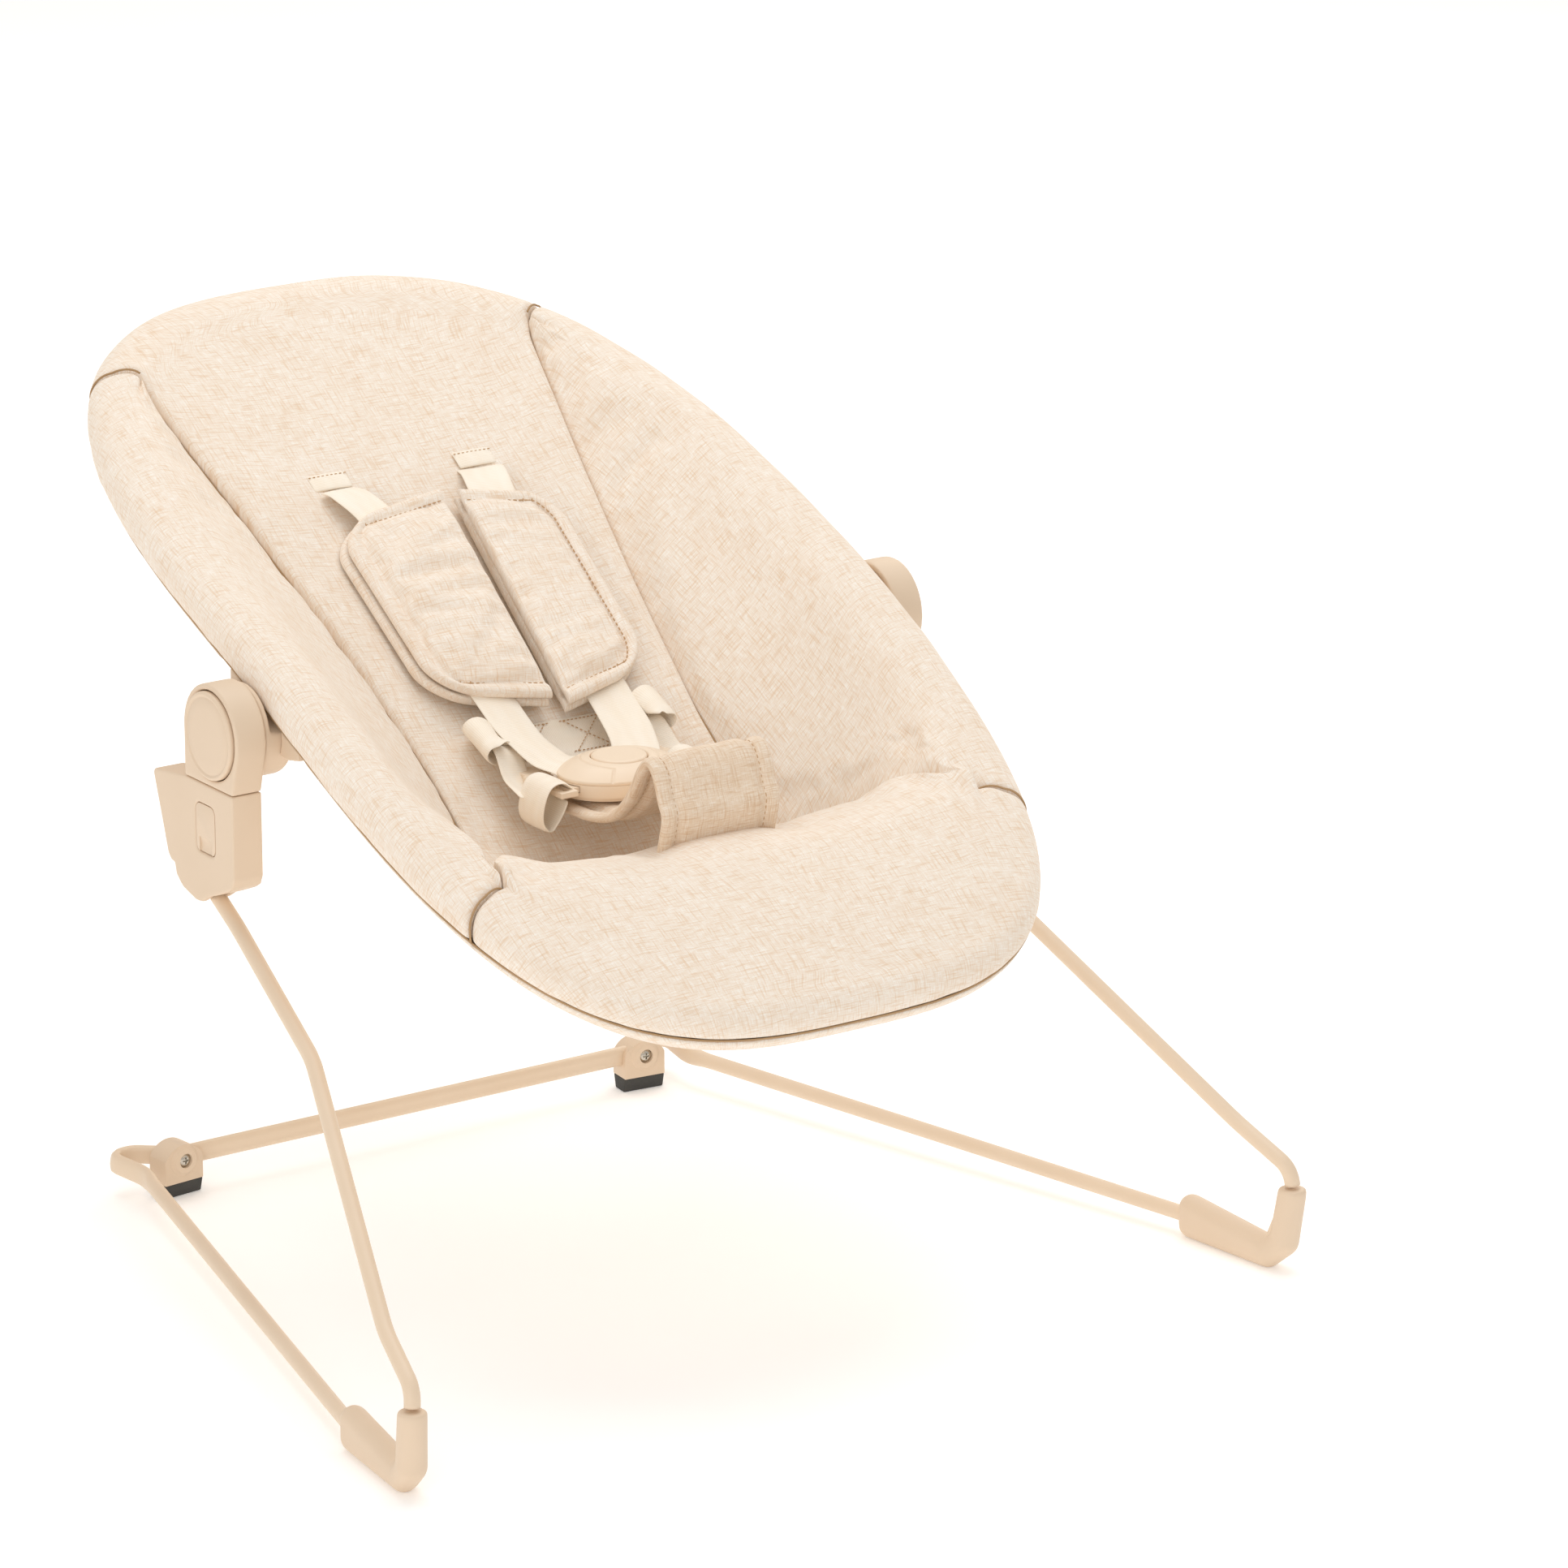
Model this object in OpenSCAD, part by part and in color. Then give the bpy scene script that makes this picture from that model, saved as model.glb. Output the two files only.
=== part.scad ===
// Reclining baby bouncer: a padded seat on a bent hoop, hinged on a springy wire base.
// Frame: +Z up, -Y towards the foot end, +X the right side seen from the foot end.
// The origin is on the floor under the middle of the bounding box.

/* [Seat hoop] */
// Width between the hoop tube's centre lines
hoop_w = 342; // [320:1:360]
// Length of the hoop between centre lines, seen from above
hoop_l = 522; // [500:1:550]
// Middle of the hoop along Y
hoop_mid_y = 7.5; // [-10:0.5:20]
// Squareness of the hoop's head end (2 is an ellipse)
head_square = 2.85; // [2.4:0.05:3.5]
// Squareness of the hoop's foot end
foot_square = 3.2; // [2.6:0.05:4]
// Diameter of the hoop tube
hoop_d = 14; // [12:0.5:16]
// Height of the hoop at its bend beside the hinges
knee_z = 309; // [290:1:330]
// Place of that bend along Y
knee_y = -30; // [-60:1:0]
// Slope of the hoop towards the head end
head_slope = 0.38; // [0.3:0.01:0.45]
// Slope of the hoop towards the foot end
foot_slope = 0.56; // [0.45:0.01:0.65]
// How gently the hoop bends there
knee_round = 60; // [20:5:100]

/* [Seat cover] */
// Depth of the seat's bucket below the padded rim
bowl_depth = 92; // [70:1:100]
// Place of the deepest point along Y
bowl_y = -45; // [-60:1:-30]
// Fall-off of the bucket towards the leg panel
crest_len = 82; // [60:1:110]
// Thickness of the padding
pad_t = 11; // [8:0.5:14]
// Thickness of the padded roll over the hoop tube
roll_t = 9; // [7:0.5:11]
// Half width of the back panel at its narrow end
seam_half_w = 83; // [70:1:95]
// Thickness of the cloth under cover
cloth_t = 1.6; // [1:0.1:2.5]

/* [Wire base] */
// Diameter of the wire of the base
rod_d = 8; // [7:0.5:10]
// Half width of the base at the front sleeves
front_x = 260; // [240:1:275]
// Half width of the base at the middle bend of the legs
mid_x = 211; // [205:1:216]
// Half width at the rear foot brackets
rear_x = 145; // [130:1:160]
// Place of the rear foot brackets along Y
rear_y = 148; // [130:1:165]
// Foremost place of the wire along Y
front_y = -274; // [-285:1:-260]
// Height of the bounce axis, at the mouth of the front sleeves
bounce_z = 47; // [42:1:52]

/* [Hinge] */
// Place of the recline axis along Y
hub_y = -3.5; // [-8:0.5:2]
// Height of the recline axis
hub_z = 298; // [294:0.5:300]
// Inner face of the hinge arm from the middle plane
arm_x = 189; // [188:0.5:192]
// Thickness of the hinge arm
arm_t = 17; // [15:0.5:20]
// Radius of the hinge arm's round top
arm_r = 26; // [24:0.5:28]
// Radius of the round recline button
cap_r = 22.4; // [20:0.1:23]
// Travel of the release button
release_travel = 1.5; // [1:0.5:2]
// Radius of the hinge axle
axle_r = 7; // [6:0.5:8]

/* [Harness] */
// Width of the webbing
web_w = 25; // [20:1:30]
// Thickness of the webbing
web_t = 1.6; // [1.2:0.1:2]
// Half width of the buckle
buckle_rx = 33; // [30:0.5:36]
// Half length of the buckle
buckle_ry = 26; // [23:0.5:29]
// Radius of the buckle's button
button_r = 14.2; // [12:0.1:16]
// Height of the button's top
buckle_z = 266; // [260:1:272]
// Place of the buckle along Y
buckle_y = -55; // [-65:1:-45]

/* [Hidden] */

$fn = 48;
metal = "#EFD9BE";
plastic = "#EED8BD";
linen = "#F2DFC8";
webbing = "#FBEBD8";
rubber_grey = "#4A4844";
steel = "#B8B4AC";

tube_r = hoop_d / 2;
rod_r = rod_d / 2;
bracket_from = -44;       // ends of the seat brackets along Y
bracket_to = 20;
gap = 0.35;              // clearance between pieces that move past each other
soft_gap = 0.8;          // clearance between soft pieces
roll_out = tube_r + roll_t;
roll_side = tube_r + 5.5;
roll_in = tube_r + 0.9;
roll_start = 150;        // angle round the tube where the roll leaves the seat, on the inner side
roll_end = -35;          // angle of the edge seam, on the outer lower side
inset = roll_out * cos(180 - roll_start);
rim_rise = roll_out * sin(roll_start);
head_y = hoop_mid_y + hoop_l / 2 - inset;

// ---------- points and sweeps ----------

function unit(v) = v / norm(v);
function lerp(a, b, t) = a + (b - a) * t;
function sgn_pow(v, p) = sign(v) * pow(abs(v), p);
function flat(lists) = [for (l = lists) each l];

// Closed solid between a grid of top points and the matching grid of bottom points.
module slab(top, bottom) {
    rows = len(top);
    cols = len(top[0]);
    size = rows * cols;
    function id(r, c) = r * cols + c;
    edge = concat([for (c = [0 : cols - 1]) id(0, c)], [for (r = [1 : rows - 1]) id(r, cols - 1)],
                  [for (c = [cols - 2 : -1 : 0]) id(rows - 1, c)], [for (r = [rows - 2 : -1 : 1]) id(r, 0)]);
    faces = concat(
        [for (r = [0 : rows - 2], c = [0 : cols - 2]) each
            [[id(r, c), id(r + 1, c + 1), id(r + 1, c)], [id(r, c), id(r, c + 1), id(r + 1, c + 1)]]],
        [for (r = [0 : rows - 2], c = [0 : cols - 2]) each
            [[size + id(r, c), size + id(r + 1, c), size + id(r + 1, c + 1)],
             [size + id(r, c), size + id(r + 1, c + 1), size + id(r, c + 1)]]],
        [for (k = [0 : len(edge) - 1])
            let (a = edge[k], b = edge[(k + 1) % len(edge)]) each
                [[a, size + b, b], [a, size + a, size + b]]]);
    polyhedron(concat(flat(top), flat(bottom)), faces, convexity = 6);
}

// Rounds each inner corner of a path with an arc-like curve of the given reach.
function rounded(path, reach, steps) = concat([path[0]],
    [for (i = [1 : len(path) - 2])
        let (p = path[i], a = p + unit(path[i - 1] - p) * reach, b = p + unit(path[i + 1] - p) * reach)
        for (k = [0 : steps]) let (t = k / steps) lerp(lerp(a, p, t), lerp(p, b, t), t)],
    [path[len(path) - 1]]);

function tangent(path, i) = unit(path[min(i + 1, len(path) - 1)] - path[max(i - 1, 0)]);

// Sweeps a flat section along a path; the section's x follows `side`, as far as the path allows.
module sweep(path, section, side, closed = false) {
    n = len(path);
    m = len(section);
    function dir(i) = closed ? unit(path[(i + 1) % n] - path[(i + n - 1) % n]) : tangent(path, i);
    function ring(i) = let (t = dir(i), v = unit(cross(t, side)), u = cross(v, t))
        [for (s = section) path[i] + u * s[0] + v * s[1]];
    points = flat([for (i = [0 : n - 1]) ring(i)]);
    last = closed ? n - 1 : n - 2;
    walls = [for (i = [0 : last], j = [0 : m - 1])
        let (a = i * m + j, b = i * m + (j + 1) % m, c = ((i + 1) % n) * m + (j + 1) % m,
             d = ((i + 1) % n) * m + j) each [[a, d, c], [a, c, b]]];
    caps = closed ? [] : [[for (j = [0 : m - 1]) j], [for (j = [m - 1 : -1 : 0]) (n - 1) * m + j]];
    polyhedron(points, concat(walls, caps), convexity = 6);
}

function round_section(r, sides) =
    [for (k = [0 : sides - 1]) r * [cos(360 * k / sides), sin(360 * k / sides)]];
function oval_section(w, h, sides) =
    [for (k = [0 : sides - 1]) let (a = 360 * k / sides)
        [w / 2 * sgn_pow(cos(a), 0.6), h / 2 * sgn_pow(sin(a), 0.6)]];
function flat_section(w, t) = [[-w / 2, -t / 2], [w / 2, -t / 2], [w / 2, t / 2], [-w / 2, t / 2]];

// Builds a right-hand piece as it is, or mirrors it to the left.
module on_side(right) {
    if (right) children();
    else mirror([1, 0, 0]) children();
}

module rounded_rect(w, h, r) {
    union() {
        square([w - 2 * r, h], center = true);
        square([w, h - 2 * r], center = true);
        for (x = [-1, 1], y = [-1, 1]) translate([x * (w / 2 - r), y * (h / 2 - r)]) circle(r);
    }
}

// A flat outline in the Y-Z plane, extruded along X.
module plate_yz(x, t) {
    translate([x, 0, 0]) rotate([90, 0, 90]) linear_extrude(t) children();
}

// ---------- shape of the seat ----------

// Height of the hoop's centre line at a place along Y.
function hoop_z(y) = let (u = y - knee_y)
    knee_z + (head_slope + foot_slope) / 2 * u
    + (head_slope - foot_slope) / 2 * (sqrt(u * u + knee_round * knee_round) - knee_round);
function square_at(y) = y > hoop_mid_y ? head_square : foot_square;
function hoop_xy(a) = let (n = sin(a) > 0 ? head_square : foot_square)
    [hoop_w / 2 * sgn_pow(cos(a), 2 / n), hoop_mid_y + hoop_l / 2 * sgn_pow(sin(a), 2 / n)];
function hoop_point(a) = let (p = hoop_xy(a)) [p[0], p[1], hoop_z(p[1])];
// Outward direction of the hoop, seen from above.
function hoop_out(a) = let (n = sin(a) > 0 ? head_square : foot_square)
    unit([sgn_pow(cos(a), 2 - 2 / n) / (hoop_w / 2), sgn_pow(sin(a), 2 - 2 / n) / (hoop_l / 2), 0]);
// Half width of the seat inside its padded rim.
function inner_half_w(y) = let (t = min(1, abs((y - hoop_mid_y) / (hoop_l / 2))), n = square_at(y))
    max(1, hoop_w / 2 * pow(1 - pow(t, n), 1 / n) - inset);
// Depth of the seat's middle line below the rim.
function sag(y) = y > bowl_y ? bowl_depth * max(0, (head_y - y) / (head_y - bowl_y))
    : bowl_depth / (1 + pow((bowl_y - y) / crest_len, 4));
function seat_z(x, y) = hoop_z(y) + rim_rise
    - sag(y) * (1 - pow(min(1, abs(x) / inner_half_w(y)), 3.5));
function seat_point(p, lift) = [p[0], p[1], seat_z(p[0], p[1]) + lift];

// Points round the hoop tube at one hoop angle; f is the angle round the tube, 90 on top, 0 outside.
function tube_point(a, r, f) = hoop_point(a) + hoop_out(a) * r * cos(f) + [0, 0, r * sin(f)];
roll_angles = [for (k = [0 : 6]) lerp(roll_start, roll_end, k / 6)];
function roll_r(f) = lerp(roll_side, roll_out, min(1, max(0, f / 80)));
function roll_foot(a) = let (c = hoop_xy(a), o = hoop_out(a)) [c[0] - o[0] * inset, c[1] - o[1] * inset];

// Half width of the back panel, and the line of the seam behind the leg panel. Both seams end at the rim.
leg_seam_y = -62;
head_seam_a = hoop_angle(219);
foot_seam_a = hoop_angle(-171);
head_corner = roll_foot(head_seam_a);
leg_corner = roll_foot(foot_seam_a);
function seam_x(y) = seam_half_w
    + (head_corner[0] - seam_half_w) * pow(max(0, y) / head_corner[1], 1.3);
function leg_seam(x) = [x, leg_seam_y + (leg_corner[1] - leg_seam_y) * pow(abs(x) / leg_corner[0], 3.5)];

// A panel's rows run from a seam across to the padded rim, then over the roll.
// plan holds a row's points seen from above, up to the rim; each panel is thin at its seams.
// rim_fill is how far the padding lifts the inner side of the roll.
function puff(j, cols) = 1 - pow(abs(2 * j / cols - 1), 2.5);
function puff_top(j, cols, rim_fill) = rim_fill > 0 ? 1 - pow(1 - j / cols, 4) : puff(j, cols);
function straight_plan(from, a, cols) = [for (j = [0 : cols - 1]) lerp(from, roll_foot(a), j / cols)];
function row_top(plan, a, lift, rim_fill) = concat(
    [for (j = [0 : len(plan) - 1]) seat_point(plan[j], lift_at(j, len(plan), lift, rim_fill))],
    [for (f = roll_angles) tube_point(a, roll_r(f), f) + [0, 0, rim_fill * max(0, (f - 85) / 65)]]);
function lift_at(j, cols, lift, rim_fill) = lift * puff_top(j, cols, rim_fill)
    + (rim_fill > 0 ? (rim_fill - lift) * pow(j / cols, 2) : 0);
function row_bottom(plan, a) = concat(
    [for (j = [0 : len(plan) - 1]) seat_point(plan[j], -pad_under(j, len(plan)))],
    [for (f = roll_angles) tube_point(a, roll_in, f)]);
function pad_under(j, cols) = pad_t * (0.45 + 0.55 * puff(j, cols));

module panel(plans, angles, lift, rim_fill = 0) {
    last = len(angles) - 1;
    slab([for (i = [0 : last]) row_top(plans[i], angles[i], lift, rim_fill)],
         [for (i = [0 : last]) row_bottom(plans[i], angles[i])]);
}

// Cloth that runs on under a panel and round under the hoop tube to the edge seam.
under_angles = [-165, -125, -85, -42];
notch_angles = [-165, -162, -159, -156];
function in_notch(p) = p[1] > bracket_from - 6 && p[1] < bracket_to + 6;
function cloth_row(plan, a, extra) = concat(
    [for (j = [0 : len(plan) - 1]) seat_point(plan[j], -pad_under(j, len(plan)) - soft_gap - extra)],
    [for (f = in_notch(hoop_xy(a)) ? notch_angles : under_angles)
        tube_point(a, roll_in + 0.2 + extra, f)]);
module cloth(plans, angles) {
    last = len(angles) - 1;
    slab([for (i = [0 : last]) cloth_row(plans[i], angles[i], 0)],
         [for (i = [0 : last]) cloth_row(plans[i], angles[i], cloth_t)]);
}

// Angle of the hoop at a place along Y, on the right side.
function hoop_angle(y) = asin(sgn_pow((y - hoop_mid_y) / (hoop_l / 2), square_at(y) / 2));

// Rows of the side wings: first down the back panel's seam, then out along the leg panel's seam.
wing_rows = 22;
wing_cols = 7;
back_share = 0.74;
function wing_seam(q) = q < back_share
    ? let (y = lerp(head_corner[1], leg_seam_y - 8, q / back_share)) [seam_x(y) + soft_gap / 2, y]
    : let (x = lerp(seam_half_w, leg_corner[0], (q - back_share) / (1 - back_share)))
        leg_seam(x) + [0, soft_gap / 2];
wing_q = [for (i = [0 : wing_rows]) i / wing_rows];
function wing_rim_y(q) = lerp(hoop_xy(head_seam_a)[1] - 0.6, hoop_xy(foot_seam_a)[1] + 0.6, q);
wing_angles = [for (q = wing_q) hoop_angle(wing_rim_y(q))];
wing_plans = [for (i = [0 : wing_rows]) straight_plan(wing_seam(wing_q[i]), wing_angles[i], wing_cols)];

// Rows of the back panel run from the leg panel's seam up to the head of the hoop.
back_rows = 12;
back_cols = 11;
head_a = hoop_angle(hoop_xy(head_seam_a)[1] + 0.6);
function back_seam_y(t) = lerp(leg_seam_y - 6, head_corner[1], t);
function back_point(s, t, rim) = let (low = leg_seam(s * seam_half_w))
    [s * (seam_x(back_seam_y(t)) - soft_gap / 2), lerp(low[1] + soft_gap / 2, rim[1], t)];
back_angles = [for (i = [0 : back_rows]) lerp(180 - head_a, head_a, i / back_rows)];
back_plans = [for (i = [0 : back_rows]) let (rim = roll_foot(back_angles[i]))
    [for (j = [0 : back_cols - 1]) back_point(2 * i / back_rows - 1, j / back_cols, rim)]];

// Rows of the leg panel run from its seam to the foot of the hoop.
leg_rows = 20;
leg_cols = 8;
foot_a = hoop_angle(hoop_xy(foot_seam_a)[1] - 0.6);
leg_angles = [for (i = [0 : leg_rows]) lerp(foot_a, -180 - foot_a, i / leg_rows)];
leg_plans = [for (i = [0 : leg_rows])
    straight_plan(leg_seam(leg_corner[0] * (1 - 2 * i / leg_rows)) - [0, soft_gap / 2], leg_angles[i],
        leg_cols)];

// ---------- base ----------

sleeve_low = [front_x - 2, front_y + 14, 7.5];
runner_mouth = [front_x - 9, -199, 11];
runner_rear = [169, 138, 17];
hook_bend = [174, 166, 18];
bounce_point = [front_x + 2, front_y, bounce_z];

// The upper end of the leg wire, inside its socket.
rod_x = arm_x + arm_t / 2;
rod_bend = [rod_x, hub_y + 16, hub_z - 84];
rod_end = [rod_x, hub_y + 28, hub_z - 60];

module floor_runner() {
    path = rounded([
        bounce_point - [0, 0, 2.6],
        sleeve_low,
        runner_mouth,
        [mid_x, -34, 14],
        lerp(runner_rear, hook_bend, 0.15)
    ], 12, 5);
    hook = rounded([runner_rear, hook_bend, [162, 168, 19], [rear_x + 3, rear_y + 4.5, crossbar_z]], 5.5, 3);
    union() {
        sweep(path, round_section(rod_r, 10), unit([1, 1, 1]));
        sweep(hook, oval_section(10.5, 5.5, 10), [0, 0, 1]);
    }
}

module upper_leg() {
    path = rounded([
        bounce_point + [0, 0, 0.3],
        [front_x + 1, front_y + 1, 56],
        [front_x - 6, front_y + 36, 72],
        [mid_x, -104, 160],
        [rod_x, hub_y - 8, hub_z - 98],
        rod_bend,
        rod_end
    ], 7.5, 5);
    sweep(path, round_section(rod_r, 10), unit([1, 1, 1]));
}

module front_sleeve() {
    recess_r = 48;
    recess_h = 3.4;
    difference() {
        union() {
            hull() {
                for (z = [6.6, 16]) translate([front_x - 8, -205, z]) sphere(d = 14, $fn = 24);
                for (z = [6.6, 9.5]) translate([front_x - 1.5, front_y + 14, z]) sphere(d = 14.4, $fn = 24);
            }
            hull() {
                translate([front_x - 1.5, front_y + 13, 8]) sphere(d = 15.2, $fn = 24);
                translate([front_x + 0.5, front_y + 4, 16]) sphere(d = 15.6, $fn = 24);
            }
            hull() {
                translate([front_x + 0.5, front_y + 4, 16]) sphere(d = 15.6, $fn = 24);
                translate([front_x + 2, front_y, 42]) cylinder(d = 14.4, h = 3.6, $fn = 24);
            }
        }
        translate([0, 0, -50]) cube([600, 700, 100], center = true);
        translate([front_x + 3.5, -229, 8.5]) rotate([0, 0, 6.6]) plate_yz(0, 10) rotate(-4) intersection() {
            translate([0, recess_r - recess_h]) circle(recess_r, $fn = 96);
            translate([0, recess_h - recess_r]) circle(recess_r, $fn = 96);
        }
    }
}

module left_floor_runner() color(metal) on_side(false) floor_runner();
module right_floor_runner() color(metal) on_side(true) floor_runner();
module left_upper_leg() color(metal) on_side(false) upper_leg();
module right_upper_leg() color(metal) on_side(true) upper_leg();
module left_front_sleeve() color(plastic) on_side(false) front_sleeve();
module right_front_sleeve() color(plastic) on_side(true) front_sleeve();

crossbar_z = 20;
bracket_w = 24;
bracket_d = 14;
pad_h = 8;
module rear_crossbar() {
    color(metal) difference() {
        translate([0, rear_y, crossbar_z]) rotate([0, 90, 0])
            linear_extrude(2 * (rear_x + 3), center = true) rounded_rect(10.5, 6, 2.9);
        on_side(true) screw_hole();
        on_side(false) screw_hole();
    }
}

// The bracket is a block with a rounded top; the runner's hook and the crossbar enter its two ends.
bracket_toe = 6;
module at_bracket() {
    translate([rear_x, rear_y, 0]) rotate([0, 0, -bracket_toe]) children();
}
module screw_hole() {
    at_bracket() translate([0, 20, crossbar_z]) rotate([90, 0, 0]) cylinder(r = 1.9, h = 40);
}
module bracket_block() {
    translate([0, bracket_d / 2, 0]) rotate([90, 0, 0]) linear_extrude(bracket_d) union() {
        translate([-bracket_w / 2, pad_h]) square([bracket_w, 12]);
        translate([0, crossbar_z - 5]) intersection() {
            circle(bracket_w / 2 + 1.4);
            translate([-bracket_w / 2, 0]) square([bracket_w, 20]);
        }
    }
    translate([0, -bracket_d / 2, crossbar_z]) rotate([90, 0, 0]) cylinder(r1 = 8.5, r2 = 6.5, h = 2);
}
module foot_bracket() {
    difference() {
        at_bracket() bracket_block();
        at_bracket() translate([0, -bracket_d / 2 + 2, crossbar_z]) rotate([90, 0, 0])
            cylinder(r = 3.9, h = 10);
        screw_hole();
    }
}
module left_foot_bracket() color(plastic) on_side(false) foot_bracket();
module right_foot_bracket() color(plastic) on_side(true) foot_bracket();

// Each pad is a rubber wedge with its front edge drawn in.
module rubber_pad() {
    at_bracket() translate([-bracket_w / 2, 0, 0]) plate_yz(0, bracket_w)
        polygon([[-bracket_d / 2, pad_h], [-bracket_d / 2 + 2, 0],
            [bracket_d / 2 - 2, 0], [bracket_d / 2, pad_h]]);
}
module left_rubber_pad() color(rubber_grey) on_side(false) rubber_pad();
module right_rubber_pad() color(rubber_grey) on_side(true) rubber_pad();

// Pan-head screw along -Y with a cross recess.
module bracket_screw() {
    at_bracket() translate([0, -bracket_d / 2 + 0.4, crossbar_z]) rotate([90, 0, 0]) difference() {
        union() {
            rotate_extrude() intersection() {
                translate([0, -3.2]) circle(5.4);
                square([3.7, 3]);
            }
            translate([0, 0, -11]) cylinder(r = 1.8, h = 11.2);
        }
        translate([0, 0, 1.4]) cube([3.6, 0.9, 1.6], center = true);
        translate([0, 0, 1.4]) cube([0.9, 3.6, 1.6], center = true);
    }
}
module bracket_screws() color(steel) {
    on_side(false) bracket_screw();
    on_side(true) bracket_screw();
}

// ---------- hinge ----------

// Heights and places are measured from the recline axis.
seam_z = hub_z - 26.5;   // joint between the hinge arm and its socket
socket_front = hub_y - 20;
socket_rear = hub_y + 26;
tongue_w = 26;
tongue_t = 7.4;
tongue_y = hub_y + 1;
tongue_x = arm_x + arm_t / 2 - tongue_t / 2;
tongue_foot = hub_z - 60;
button_y = hub_y + 7;
button_z = hub_z - 50;
button_w = 18;
button_h = 25;

module socket_outline() {
    top = -26.75;
    translate([hub_y, hub_z])
        polygon([[-20, top], [26, top], [56, -30.5], [57.4, -32.5], [44.5, -72], [41.5, -75], [38.5, -75],
                 [37, -81], [31, -86], [18, -89.5], [12, -89], [5, -84.5], [-2, -82], [-14, -77],
                 [-18, -74.5], [-20, -70]]);
}

// Outline of the channel, wider than the wire by the clearance on each side.
module channel_outline(half) {
    along = unit(rod_end - rod_bend);
    below = unit(rod_bend - [rod_x, hub_y - 8, hub_z - 98]);
    a = rod_bend + along * 29;
    b = rod_bend - below * 30;
    polygon([
        [a[1] - along[2] * half, a[2] + along[1] * half],
        [rod_bend[1] - half, rod_bend[2] + half],
        [b[1] - below[2] * half, b[2] + below[1] * half],
        [b[1] + below[2] * half, b[2] - below[1] * half],
        [rod_bend[1] + half, rod_bend[2] - half],
        [a[1] + along[2] * half, a[2] - along[1] * half]
    ]);
}

module socket() {
    clear = rod_r + 0.6;
    difference() {
        plate_yz(arm_x, arm_t) socket_outline();
        // pocket for the arm's tongue, open at the top
        translate([tongue_x - gap, tongue_y - tongue_w / 2 - gap, tongue_foot - 1])
            cube([tongue_t + 2 * gap, tongue_w + 2 * gap, 40]);
        // window for the release button
        translate([0, button_y, button_z]) plate_yz(arm_x + arm_t / 2, arm_t)
            rounded_rect(button_w + 2 * gap, button_h + 2 * gap, 4 + gap);
        // channel for the end of the leg wire, a straight-sided slot along its bend
        translate([rod_x - clear, 0, 0]) plate_yz(0, 2 * clear) channel_outline(clear);
    }
}
module left_socket() color(plastic) on_side(false) socket();
module right_socket() color(plastic) on_side(true) socket();

// A coil spring along X, as one swept wire.
module spring(start, r, wire, length, turns) {
    steps = 14 * turns;
    path = [for (k = [0 : steps]) let (a = 360 * turns * k / steps)
        start + [length * k / steps, r * cos(a), r * sin(a)]];
    sweep(path, round_section(wire / 2, 6), [1, 0, 0]);
}

latch_x = tongue_x + tongue_t + gap;
module release_button() {
    face_x = arm_x + arm_t - 0.3;
    union() {
        translate([0, button_y, button_z]) difference() {
            plate_yz(latch_x + release_travel + 0.4, face_x - latch_x - release_travel - 0.4)
                rounded_rect(button_w, button_h, 4);
            translate([face_x + 9, 0, -button_h / 2 + 3]) rotate([90, 0, 0])
                cylinder(r = 10.2, h = button_w - 6, center = true);
        }
        // latch nose, in the tongue's slot
        translate([tongue_x + release_travel + 0.6, button_y - 2, button_z + 2])
            cube([latch_x - tongue_x + 1, 4, 5]);
    }
}
module left_release_button() color(plastic) on_side(false) release_button();
module right_release_button() color(plastic) on_side(true) release_button();

module latch_spring() {
    spring([tongue_x + 1.2, button_y, button_z - 4], 2.2, 0.7, tongue_t - 1.2, 3);
}
module left_latch_spring() color(steel) on_side(false) latch_spring();
module right_latch_spring() color(steel) on_side(true) latch_spring();

cap_floor = arm_x + 5.5;
module hinge_arm() {
    difference() {
        union() {
            plate_yz(arm_x, arm_t) union() {
                translate([hub_y, hub_z]) circle(arm_r, $fn = 96);
                polygon([[socket_front, seam_z], [socket_rear, seam_z],
                    [hub_y + arm_r * cos(8), hub_z - arm_r * sin(8)], [hub_y, hub_z],
                    [hub_y - arm_r * cos(20), hub_z - arm_r * sin(20)]]);
            }
            translate([tongue_x, tongue_y - tongue_w / 2, tongue_foot]) cube([tongue_t, tongue_w, 40]);
        }
        // bore for the axle, and the well of the round button
        translate([arm_x - 1, hub_y, hub_z]) rotate([0, 90, 0]) cylinder(r = axle_r + 0.05, h = arm_t);
        translate([cap_floor, hub_y, hub_z]) rotate([0, 90, 0]) cylinder(r = cap_r + gap, h = arm_t);
        // slot for the latch nose and spring, open at the foot of the tongue
        translate([tongue_x + 0.8, button_y - 3.4, tongue_foot - 1]) cube([tongue_t, 6.8, 19]);
    }
}
module left_hinge_arm() color(plastic) on_side(false) hinge_arm();
module right_hinge_arm() color(plastic) on_side(true) hinge_arm();

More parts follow.
